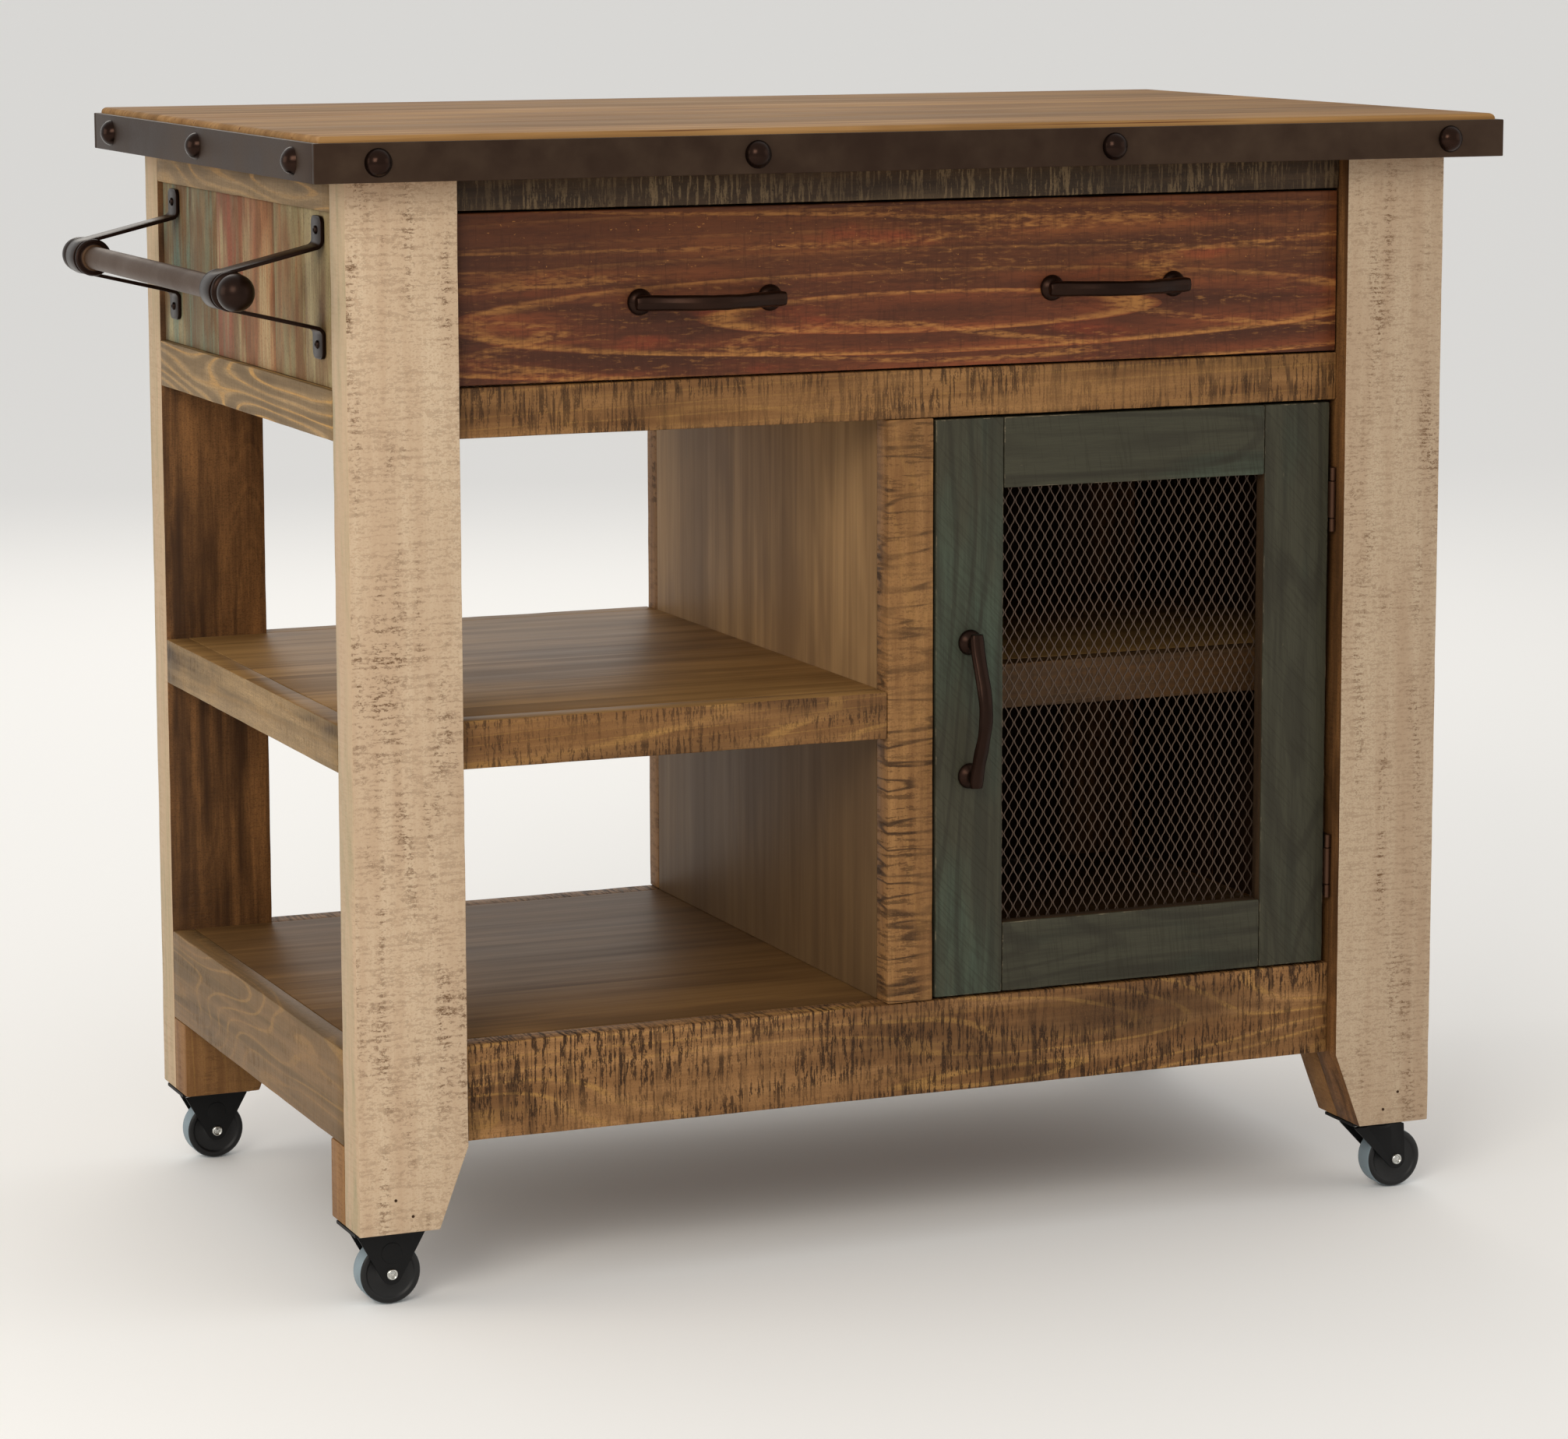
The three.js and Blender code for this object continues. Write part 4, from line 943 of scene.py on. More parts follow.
class ISLANDCART_OT_carcass(CartOperator):
    """Fit the rails, the stile and the planked ends and back"""

    bl_idname = "island_cart.carcass"
    bl_label = "Rails, stile and planks"

    def build(self, s, c):
        # The top rail takes the darker shaded-rail colours: partly dark stain, partly painted shade under the band.
        amber_board("Top rail", "rail_front_top", "x", 0.3, (c.shade_mid, c.shade_dark, c.shade, c.shade_mid),
                    smudge=0.1, saw=0.75, cut=0.0)
        amber_board("Middle rail", "rail_front_mid", "x", 1.2)
        amber_board("Deck rail", "rail_front_deck", "x", 2.1, (c.deck, *ambers(c)[1:]), figure=0.3, knot=0.8,
                    ring=11 * MM, whorl=0.6, whorls=80, saw=0.95, cover=0.9, pitch=1.9 * MM, dash=9 * MM)
        amber_board("Stile", "stile_front", "z", 3.3, saw=0.6, pitch=2.6 * MM, cut=1.0, cut_pitch=13 * MM,
                    figure=0.15, smudge=0.25)
        amber_board("Back deck rail", "rail_back_deck", "x", 4.7)
        amber_board("Right deck rail", "rail_right_deck", "y", 5.9, saw=0.4)
        for name, node, seed, figure, light in (
            ("Left top rail", "rail_left_top", 0.7, 0.7, c.olive),
            ("Left middle rail", "rail_left_mid", 1.9, 1.0, c.olive),
            ("Left deck rail", "rail_left_deck", 2.8, 0.3, c.olive_mid),
        ):
            frame_board(
                node + "_board", node, *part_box(node),
                name, "y", (seed, seed * 0.4, seed * 0.7), light, *olives(c)[1:],
                saw=0.2, speck=0.4, figure=0.2, ring=9 * MM, knot=0.3, roughness=0.5, depth=0.3 * MM,
                smudge=0.35, whorl=figure, whorls=120,
            )

        lo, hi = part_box("panel_left")
        plank_row("left_panel", lo.y, hi.y, 1, 0, lo, hi, s.end_planks, ["panel_left"], (0, 1, 2, 3, 4, 5))
        self.right_end(s, c)
        self.back(s, c)

    def right_end(self, s, c):
        """The right end, as two rails with planks above and below the lower one."""
        whole_lo, whole_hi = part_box("end_frame_right")
        for part in ("top", "mid"):
            lo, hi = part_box(f"rail_left_{part}")
            a, b = (mirrored_x(hi.x), lo.y, lo.z), (mirrored_x(lo.x), hi.y, hi.z)
            frame_board(
                f"end_right_rail_{part}", "end_frame_right", a, b,
                f"Right {part} rail", "y", (lo.z * 5, 0.4, lo.z), *olives(c),
                saw=0.2, speck=0.3, figure=0.5, ring=12 * MM, roughness=0.5, depth=0.3 * MM,
            )
        panel_lo, panel_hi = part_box("panel_left")
        x0, x1 = mirrored_x(panel_hi.x), mirrored_x(panel_lo.x)
        gap = 0.3 * MM
        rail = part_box("rail_left_mid")
        order = (5, 2, 0, 4, 3, 1)
        for part, z0, z1 in (("upper", panel_lo.z, panel_hi.z), ("lower", whole_lo.z, rail[0].z - gap)):
            lo, hi = Vector((x0, whole_lo.y, z0)), Vector((x1, whole_hi.y, z1))
            plank_row(f"right_{part}", lo.y, hi.y, 1, 0, lo, hi, s.end_planks, ["end_frame_right"], order)

    def back(self, s, c):
        """The back, planked behind the drawer and the cabinet and open behind the bay."""
        whole_lo, whole_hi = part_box("back_frame")
        gap = 0.3 * MM
        for part in ("top", "mid"):
            lo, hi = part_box(f"rail_front_{part}")
            frame_board(
                f"back_rail_{part}", "back_frame",
                (lo.x, whole_hi.y - RAIL_THICKNESS, lo.z), (hi.x, whole_hi.y, hi.z),
                f"Back {part} rail", "x", (lo.z * 3, 0.2, lo.z), *ambers(c),
                saw=0.6, speck=0.35, figure=0.5, ring=11 * MM, roughness=0.55,
            )
        stile_lo, stile_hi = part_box("stile_front")
        frame_board(
            "back_stile", "back_frame",
            (stile_lo.x, whole_hi.y - RAIL_THICKNESS, stile_lo.z), (stile_hi.x, whole_hi.y, stile_hi.z),
            "Back stile", "z", (7.1, 0.5, 0.6), *ambers(c),
            saw=0.7, speck=0.3, figure=0.5, ring=11 * MM, roughness=0.55, pitch=4 * MM,
        )
        sunk, plank_thickness = 5 * MM, 12 * MM
        plank_y = (whole_hi.y - sunk - plank_thickness, whole_hi.y - sunk)
        top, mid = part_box("rail_front_top"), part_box("rail_front_mid")
        for part, x0, x1, z0, z1, count, order in (
            ("drawer", whole_lo.x, whole_hi.x, mid[1].z + gap, top[0].z - gap, 9, (0, 5, 3, 2, 4, 1)),
            ("cabinet", stile_hi.x + gap, whole_hi.x, stile_lo.z, mid[0].z - gap, 5, (4, 0, 3, 5, 1)),
        ):
            lo, hi = Vector((x0, plank_y[0], z0)), Vector((x1, plank_y[1], z1))
            plank_row(f"back_{part}", x0, x1, 0, 1, lo, hi, count, ["back_frame"], order)


class ISLANDCART_OT_shelves(CartOperator):
    """Fit the shelf, the deck, the divider and the cabinet's shelf"""

    bl_idname = "island_cart.shelves"
    bl_label = "Shelves and divider"

    def build(self, s, c):
        thickness = 18 * MM
        gap = 0.15 * MM
        satin = satin_wood(
            "Shelf boards", "x", (0.2, 0.1, 0.3), c.shelf, c.shelf_dark, c.shelf_dark,
            roughness=0.42, specular=0.08, line=0.12, figure=0.1, pith=(0, 0.1, -0.15), tilt=(0.01, 0.02),
            plank=0.12, plank_width=0.105, cloud=0.7,
        )
        lo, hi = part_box("shelf_mid")
        left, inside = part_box("rail_front_mid")[0].x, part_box("rail_left_mid")[1].x
        y0, y1 = lo.y + RAIL_THICKNESS, hi.y - RAIL_THICKNESS
        main = board((inside + gap, y0 + gap, hi.z - thickness), (hi.x, y1 - gap, hi.z), s.fine_round * 0.5, 0)
        piece("shelf_board", main, "cart", satin, ["shelf_mid"])
        for name, near, far, seed in (("front", lo.y, y0, 0.9), ("back", y1, hi.y, 2.9)):
            frame_board(
                f"shelf_edge_{name}", "shelf_mid", (left, near, lo.z), (hi.x, far, hi.z),
                f"Shelf {name} edging", "x", (seed, 0.33, seed), *ambers(c),
                over=[satin], pick=facing(2, 1, 0.7), saw=0.75, speck=0.35, figure=0.6, ring=7 * MM,
                pitch=1.9 * MM, knot=0.6, roughness=0.52, smudge=0.5, cover=0.7, whorl=0.5,
            )
        frame_board(
            "shelf_edge_left", "shelf_mid", (lo.x, y0, lo.z), (inside, y1, hi.z),
            "Shelf left edging", "y", (4.1, 0.3, 0.2), *olives(c),
            over=[satin], pick=facing(2, 1, 0.7), saw=0.35, speck=0.5, figure=0.3, ring=12 * MM, smudge=0.7,
            roughness=0.5, depth=0.3 * MM,
        )

        lo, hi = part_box("deck_board")
        lower = satin_wood(
            "Deck boards", "x", (0.6, 0.1, 0.3), c.deck_boards, c.deck_boards_dark, c.shade_dark,
            roughness=0.42, specular=0.06, line=0.15, figure=0.2, pith=(0, 0.1, -0.15), tilt=(0.01, 0.02),
            plank=0.12, plank_width=0.105, cloud=0.7,
        )
        piece("deck_planks", board(lo, hi, s.fine_round * 0.5, 0), "cart", lower, ["deck_board"])
        lo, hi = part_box("divider")
        # The divider is painted darker below the shelf's top: painted shade under the shelf.
        upright = satin_wood(
            "Divider boards", "z", (0.7, 0.31, 0.2), c.divider, c.divider_dark, c.shade_mid,
            roughness=0.5, specular=0.12, line=0.2, figure=0.15, streak=60, ring=16 * MM, cloud=0.6, whorl=0.3,
            below=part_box("shelf_mid")[1].z,
        )
        # The divider's face towards the cabinet is painted near-black: painted shade inside the cabinet.
        dark = painted_shade_wood("Divider inner face", (0.5, 0.1, 0.1))
        bm = board(lo, hi, s.fine_round, 0)
        piece("divider_board", bm, "cart", [upright, dark], ["divider"], pick=facing(0, 1))
        lo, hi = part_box("cabinet_shelf")
        front = lo.y + RAIL_THICKNESS
        bm = board((lo.x, front + gap, hi.z - thickness), hi, s.fine_round * 0.5, 0)
        piece("cabinet_shelf_board", bm, "cart", satin, ["cabinet_shelf"])
        # The cabinet shelf's edging takes darker copies of the amber: painted shade behind the door's mesh, with its
        # own streaks.
        frame_board(
            "cabinet_shelf_edge", "cabinet_shelf", lo, (hi.x, front, hi.z),
            "Cabinet shelf edging", "x", (6.1, 0.3, 0.8), c.amber_mid, c.shade_mid, c.amber_dark, c.amber,
            saw=0.5, speck=0.3, figure=1.0, ring=6 * MM, smudge=0.7, roughness=0.5,
        )


# ---- Drawer ----


class ISLANDCART_OT_drawer(CartOperator):
    """Make the drawer with its stained front and its pine box"""

    bl_idname = "island_cart.drawer"
    bl_label = "Drawer"

    def build(self, s, c):
        lo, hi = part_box("drawer_front")
        finish = Finish("Red drawer front", specular=0.22)
        at = finish.placed(finish.point, (0.25, 0.12, 0.0))
        streaks = finish.noise(at, (3, 95, 95), 4, 0.62)
        clouds = finish.noise(at, (4, 17, 17), 3, 0.6, shift=(2, 2, 6))
        fibre = finish.noise(at, (50, 1000, 1000), 2, 0.6)
        flecks = finish.noise(at, (90, 480, 480), 3, 0.65, shift=(7, 3, 1))
        dots = finish.noise(at, (260, 420, 420), 2, 0.6, shift=(3, 3, 5))
        saw = finish.noise(at, (330, 40, 40), 2, 0.6, shift=(2, 8, 3))
        rings = finish.rings(finish.point, (-0.40, 0.262, -0.764), (0.0, 0.085), 17 * MM, 1.2)
        height = finish.parts(finish.point)[2]
        upper = (height + (clouds - 0.5) * 0.12).rise((lo.z + hi.z) / 2 - 15 * MM, (lo.z + hi.z) / 2 + 25 * MM)
        finish.shade = finish.blend(upper * 0.75, c.red, c.red_brown)
        finish.tint((streaks * 0.6 + clouds * 0.5).rise(0.45, 0.72) * 0.8, c.red_dark)
        finish.tint((fibre * 0.6 + streaks * 0.4 - 0.28) * 0.9, c.red_dark)
        whorls = finish.contours(at, (1.1, 14, 14), 46, (1, 4, 7))
        lines = whorls.rise(0.9, 1.0) * (flecks * 0.6 + streaks * 0.5).rise(0.45, 0.66)
        finish.tint(whorls.rise(0.9, 0.3) * 0.35, c.red_dark)
        edges = rings.rise(0.74, 0.94) * (1.04 - rings).rise(0.04, 0.1)
        low = 1 - upper
        finish.tint((1 - rings).rise(0.2, 0.9) * low * 0.7, c.red_dark)
        finish.tint(edges * (flecks * 0.4 + streaks * 0.5).rise(0.3, 0.55) * (0.25 + low * 0.7), c.red_gold)
        finish.tint(lines * 0.6, c.red_gold)
        blush = finish.noise(at, (6, 28, 28), 3, 0.6, shift=(9, 4, 2)).rise(0.56, 0.72)
        finish.tint(blush * 0.6, c.red_bright)
        finish.tint(flecks.rise(0.54, 0.7) * (streaks + clouds).rise(0.95, 1.2) * 0.4, c.red_gold)
        finish.tint(flecks.rise(0.5, 0.34) * 0.4, c.red_dark)
        corner = (height - (lo.z + hi.z) / 2) * 4 - (finish.parts(finish.point)[0] - (lo.x + hi.x) / 2) * 1.4
        finish.tint((corner + clouds - 0.5).rise(0.15, 0.75) * 0.55, c.red_dark)
        finish.tint(dots.rise(0.68, 0.78) * (0.2 + upper * 0.5), c.red_gold)
        marks = (saw + (clouds - 0.5) * 0.5).rise(0.54, 0.7)
        finish.tint(marks * 0.3, c.red_dark)
        finish.relief(fibre * 0.2 + rings * 0.25 - marks * 0.3, 0.35 * MM, 0.8)
        red = finish.paint(0.42 + streaks * 0.2 + marks * 0.08)
        piece("drawer_front_board", board(lo, hi), "drawer", red, ["drawer_front"])
        pine = {
            grain: satin_wood(
                f"Pine drawer box {grain}", grain, (0.3, 0.2, 0.6), c.bare, c.bare_dark, c.bare_dark,
                line=0.35, figure=0.6, ring=6 * MM,
            )
            for grain in ("x", "y")
        }
        for part, grain in (("side_left", "y"), ("side_right", "y"), ("back", "x"), ("bottom", "x")):
            node = f"drawer_{part}"
            radius = 0.5 * MM if part == "bottom" else s.fine_round * 1.8
            piece(node + "_board", board(*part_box(node), radius, 0), "drawer", pine[grain], [node])
        zinc = coated_metal("Zinc slides", c.zinc, c.zinc, 0.34, 1.0, 0.2, 1200, 0.03 * MM)
        for hand in ("left", "right"):
            for part in ("rail", "runner"):
                cad_finish(f"slide_{part}_{hand}", zinc)


def pull_parts(s, length, feet, end_reach, mid_reach):
    """A cast pull along X before the plane y = 0: a bowed, faceted bar on two necks with domed roses."""
    half = length / 2
    stations = []

    def reach(t):
        return end_reach + (mid_reach - end_reach) * cos(t * pi / 2) ** 2

    steps = 22
    for i in range(steps + 1):
        t = 2 * i / steps - 1
        slope = (mid_reach - end_reach) * pi / 2 * sin(t * pi) / half
        heading = Matrix.Rotation(pi / 2, 4, "Y")
        lean = Matrix.Rotation(atan2(slope, 1), 4, "Z")
        worn = 1 + 0.1 * noise.noise(Vector((t * 4.3, 0.4, 0.2)))
        flare = abs(t) ** 4
        tip = 0.86 if i in (0, steps) else 1.0
        height = s.pull_height / 2 * (1 + 0.1 * flare) * tip * worn
        depth = s.pull_depth / 2 * (1 - 0.1 * flare) * tip * worn
        drawn_in = {0: 0.8 * MM, steps: -0.8 * MM}.get(i, 0)
        place = Matrix.Translation((t * half + drawn_in, -reach(t), 0))
        stations.append(place @ lean @ heading @ Matrix.Diagonal((height, depth, 1, 1)))
    bar = swept(stations, 8)
    ease(bar, sharp_edges(bar, 0.35), 0.7 * MM, 2)
    parts = [bar]
    for side in (-1, 1):
        x = side * feet / 2
        t = x / half
        top = reach(t) - 1.1 * MM
        rose = in_mm((0, 0.2), (10.2, 0.2), (10.5, 0.9), (10.2, 1.8), (9.2, 3.3), (7.4, 4.8), (5.6, 6), (4.6, 7.6))
        parts.append(turned(rose + [(4.4 * MM, top), (0, top)], (x, 0, 0), (0, -1, 0), 28))
    return together(*parts)


class ISLANDCART_OT_pulls(CartOperator):
    """Cast the three bronze pulls"""

    bl_idname = "island_cart.pulls"
    bl_label = "Pulls"

    def build(self, s, c):
        cast = coated_metal("Cast bronze", c.cast, c.cast_warm, 0.34, 0.9, 0.8, 260, 0.25 * MM)
        for node, body, board_node in (
            ("drawer_pull_left", "drawer", "drawer_front"),
            ("drawer_pull_right", "drawer", "drawer_front"),
            ("door_pull", "door", "door_stile_left"),
        ):
            lo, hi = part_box(node)
            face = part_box(board_node)[0].y
            upright = hi.z - lo.z > hi.x - lo.x
            bm = pull_parts(s, 127 * MM, 109 * MM, 14 * MM, 32 * MM)
            turn = Matrix.Rotation(pi / 2, 4, "Y") if upright else Matrix.Identity(4)
            middle = (lo + hi) / 2
            place = Matrix.Translation((middle.x, face, middle.z))
            bmesh.ops.transform(bm, matrix=place @ turn, verts=bm.verts)
            piece(node + "_cast", bm, body, cast, [node], 38)


# ---- Door ----


class ISLANDCART_OT_door(CartOperator):
    """Make the door's frame and the mesh let into it"""

    bl_idname = "island_cart.door"
    bl_label = "Door"

    def build(self, s, c):
        for node, grain, seed, slant, fade, knot in (
            ("door_stile_left", "z", 0.2, 0.75, 0.6, 0.0),
            ("door_stile_right", "z", 1.4, 0.75, 0.4, 0.8),
            ("door_rail_top", "x", 2.3, 0.15, 0.45, 0.0),
            ("door_rail_bottom", "x", 3.6, 0.1, 0.35, 0.5),
        ):
            lo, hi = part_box(node)
            paint = painted_wood(
                f"Teal {node}", grain, (seed, seed * 0.5, 0.1), lo, hi,
                (c.teal_light, c.teal, c.teal_dark, c.worn), slant, fade, knot,
            )
            inner = sawn_wood(
                f"Inside of {node}", grain, (seed, 0.1, 0.5), c.shade_mid, c.shade_dark, c.stain_dark,
                saw=0.3, speck=0.3, figure=0.4, roughness=0.55,
            )
            rebate = 6 * MM
            split = lo.y + 15 * MM
            axis, sign, place = {
                "door_stile_left": (0, 1, hi.x),
                "door_stile_right": (0, -1, lo.x),
                "door_rail_top": (2, -1, lo.z),
                "door_rail_bottom": (2, 1, hi.z),
            }[node]
            front = board(lo, (hi.x, split, hi.z))
            rear_lo, rear_hi = Vector((lo.x, split, lo.z)), hi.copy()
            if sign > 0:
                rear_hi[axis] = place - rebate
            else:
                rear_lo[axis] = place + rebate
            rear = board(rear_lo, rear_hi, 0.4 * MM, 0)

            def pick(f, axis=axis, sign=sign, place=place, painted=lo.y + 3 * MM):
                centre = f.calc_center_median()
                jamb = abs(centre[axis] - place) < 1.6 * MM and centre.y > painted and f.normal[axis] * sign > 0.5
                return 1 if jamb or f.normal.y > 0.6 else 0

            bm = together(front, rear)
            piece(node + "_board", bm, "door", [paint, inner], [node], pick=pick)
        self.mesh(s, c)
        zinc = coated_metal("Strike plate", c.zinc, c.zinc, 0.3, 1.0, 0.2, 1200, 0.03 * MM)
        catch_lo, catch_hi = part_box("magnet_catch")
        door_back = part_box("door_rail_top")[1].y
        mid_x = (catch_lo.x + catch_hi.x) / 2
        plate = board(
            (mid_x - 17 * MM, door_back + 0.1 * MM, catch_lo.z - 1 * MM),
            (mid_x + 17 * MM, door_back + 1.6 * MM, catch_lo.z + 11 * MM), 0.4 * MM, 0,
        )
        piece("strike_plate", plate, "door", zinc, smooth=40)
        self.catch(c, catch_lo, catch_hi, zinc)

    def mesh(self, s, c):
        """Expanded steel: wavy strands side by side that meet at their crests."""
        lo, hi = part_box("door_mesh")
        metal = coated_metal("Bronzed mesh", c.mesh, c.bronze_warm, 0.42, 0.6, 0.5, 500, 0.05 * MM)
        half = s.diamond_width / 2
        swing = (half - s.strand_width * 0.8) / 2
        bends = 6
        step = s.diamond_height / bends
        rows = int((hi.z - lo.z) / step)
        count = int((hi.x - lo.x - 2 * swing - s.strand_width) / half)
        start = (lo.x + hi.x) / 2 - count * half / 2
        y = (lo.y + hi.y) / 2
        whole = bmesh.new()
        for phase in (0, 1):
            stations = []
            for i in range(rows + 1):
                z = lo.z + i * step
                wave = cos(2 * pi * (i / bends) + phase * pi)
                lean = 0.25 * MM * sin(2 * pi * (i / bends) + phase * pi)
                place = Matrix.Translation((start + swing * wave, y + lean, z))
                wide, deep = s.strand_width / 2, s.strand_depth / 2
                stations.append(place @ Matrix.Diagonal((wide * 1.3, deep * 1.3, 1, 1)))
            strand = swept(stations, 4, pi / 4)
            mesh = bpy.data.meshes.new("strand")
            strand.to_mesh(mesh)
            strand.free()
            for k in range(phase, count + 1, 2):
                before = len(whole.verts)
                whole.from_mesh(mesh)
                whole.verts.ensure_lookup_table()
                bmesh.ops.translate(whole, vec=(k * half, 0, 0), verts=whole.verts[before:])
            bpy.data.meshes.remove(mesh)
        piece("door_mesh_diamonds", whole, "door", metal, ["door_mesh"], 60)

    def catch(self, c, lo, hi, zinc):
        """The magnet catch screwed behind the middle rail."""
        plastic = moulded_black("Catch body", c.black, 0.45)
        body = block(lo, hi)
        ease(body, sharp_edges(body), 1.6 * MM, 3)
        piece("magnet_catch_body", body, "cart", plastic, ["magnet_catch"], 40)
        pads = []
        for x in (lo.x + 9 * MM, hi.x - 9 * MM):
            low = (x - 2 * MM, lo.y - 0.8 * MM, lo.z + 2 * MM)
            pads.append(board(low, (x + 2 * MM, lo.y + 0.4 * MM, lo.z + 11 * MM), 0.3 * MM, 0))
        piece("magnet_catch_pads", together(*pads), "cart", zinc, smooth=40)


class ISLANDCART_OT_hinges(CartOperator):
    """Hang the door on its two copper hinges"""

    bl_idname = "island_cart.hinges"
    bl_label = "Hinges"

    def build(self, s, c):
        copper = coated_metal("Antique copper", c.copper, c.bronze_warm, 0.36, 0.75, 0.4, 500, 0.05 * MM)
        radius = 2.6 * MM
        for which in ("upper", "lower"):
            door_lo, door_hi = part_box(f"hinge_leaf_{which}_door")
            frame_lo, frame_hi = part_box(f"hinge_leaf_{which}_frame")
            axis_x = door_hi.x - radius
            axis_y = door_lo.y + radius
            z0, z1 = door_lo.z, door_hi.z
            eased = 0.35 * MM

            def knuckle(low, high):
                profile = [(0, low), (radius - eased, low), (radius, low + eased)]
                profile += [(radius, high - eased), (radius - eased, high), (0, high)]
                return turned(profile, (axis_x, axis_y, 0), (0, 0, 1), 24)

            bottom, top = z0 + 0.1 * MM, z1 - 0.1 * MM
            half = LEAF_THICKNESS / 2
            leaf_in = axis_x - radius + 0.9 * MM
            door_leaf = board((door_lo.x, axis_y, bottom), (door_lo.x + 2 * half, door_hi.y, top), 0.2 * MM, 0)
            wrap = board((door_lo.x, axis_y - half, bottom), (leaf_in, axis_y + half, top), 0.1 * MM, 0)
            leaf = together(knuckle(z0, z1), door_leaf, wrap)
            nodes = [f"hinge_leaf_{which}_door"]
            piece(f"hinge_{which}_door_leaf", leaf, "door", copper, nodes, 40)
            lows = (frame_lo.z, z0 - 0.5 * MM), (z1 + 0.5 * MM, frame_hi.z)
            frame_leaf = board(
                (frame_hi.x - LEAF_THICKNESS, axis_y + radius + 0.5 * MM, frame_lo.z + 0.1 * MM),
                (frame_hi.x, frame_hi.y, frame_hi.z - 0.1 * MM), 0.2 * MM, 0,
            )
            parts = [frame_leaf]
            for low, high in lows:
                parts.append(knuckle(low, high))
                parts.append(
                    board(
                        (axis_x + radius - 0.9 * MM, axis_y - half, low + 0.1 * MM),
                        (frame_hi.x, axis_y + radius + 1 * MM, high - 0.1 * MM), 0.1 * MM, 0,
                    )
                )
            pin = [(0, z0 - MM), (1.1 * MM, z0 - MM), (1.1 * MM, z1 + MM), (0, z1 + MM)]
            parts.append(turned(pin, (axis_x, axis_y, 0), (0, 0, 1), 12))
            nodes = [f"hinge_leaf_{which}_frame"]
            piece(f"hinge_{which}_frame_leaf", together(*parts), "cart", copper, nodes, 40)


# ---- Towel bar ----


def screw(place, axis, radius=3.4 * MM, height=1.9 * MM):
    """A pan-headed screw with a socket in its crown."""
    profile = [
        (0.0, -0.3 * MM), (radius, -0.3 * MM), (radius, height * 0.35), (radius * 0.8, height * 0.8),
        (radius * 0.5, height), (radius * 0.42, height), (radius * 0.36, height * 0.35), (0.0, height * 0.3),
    ]
    return turned(profile, place, axis, 20)


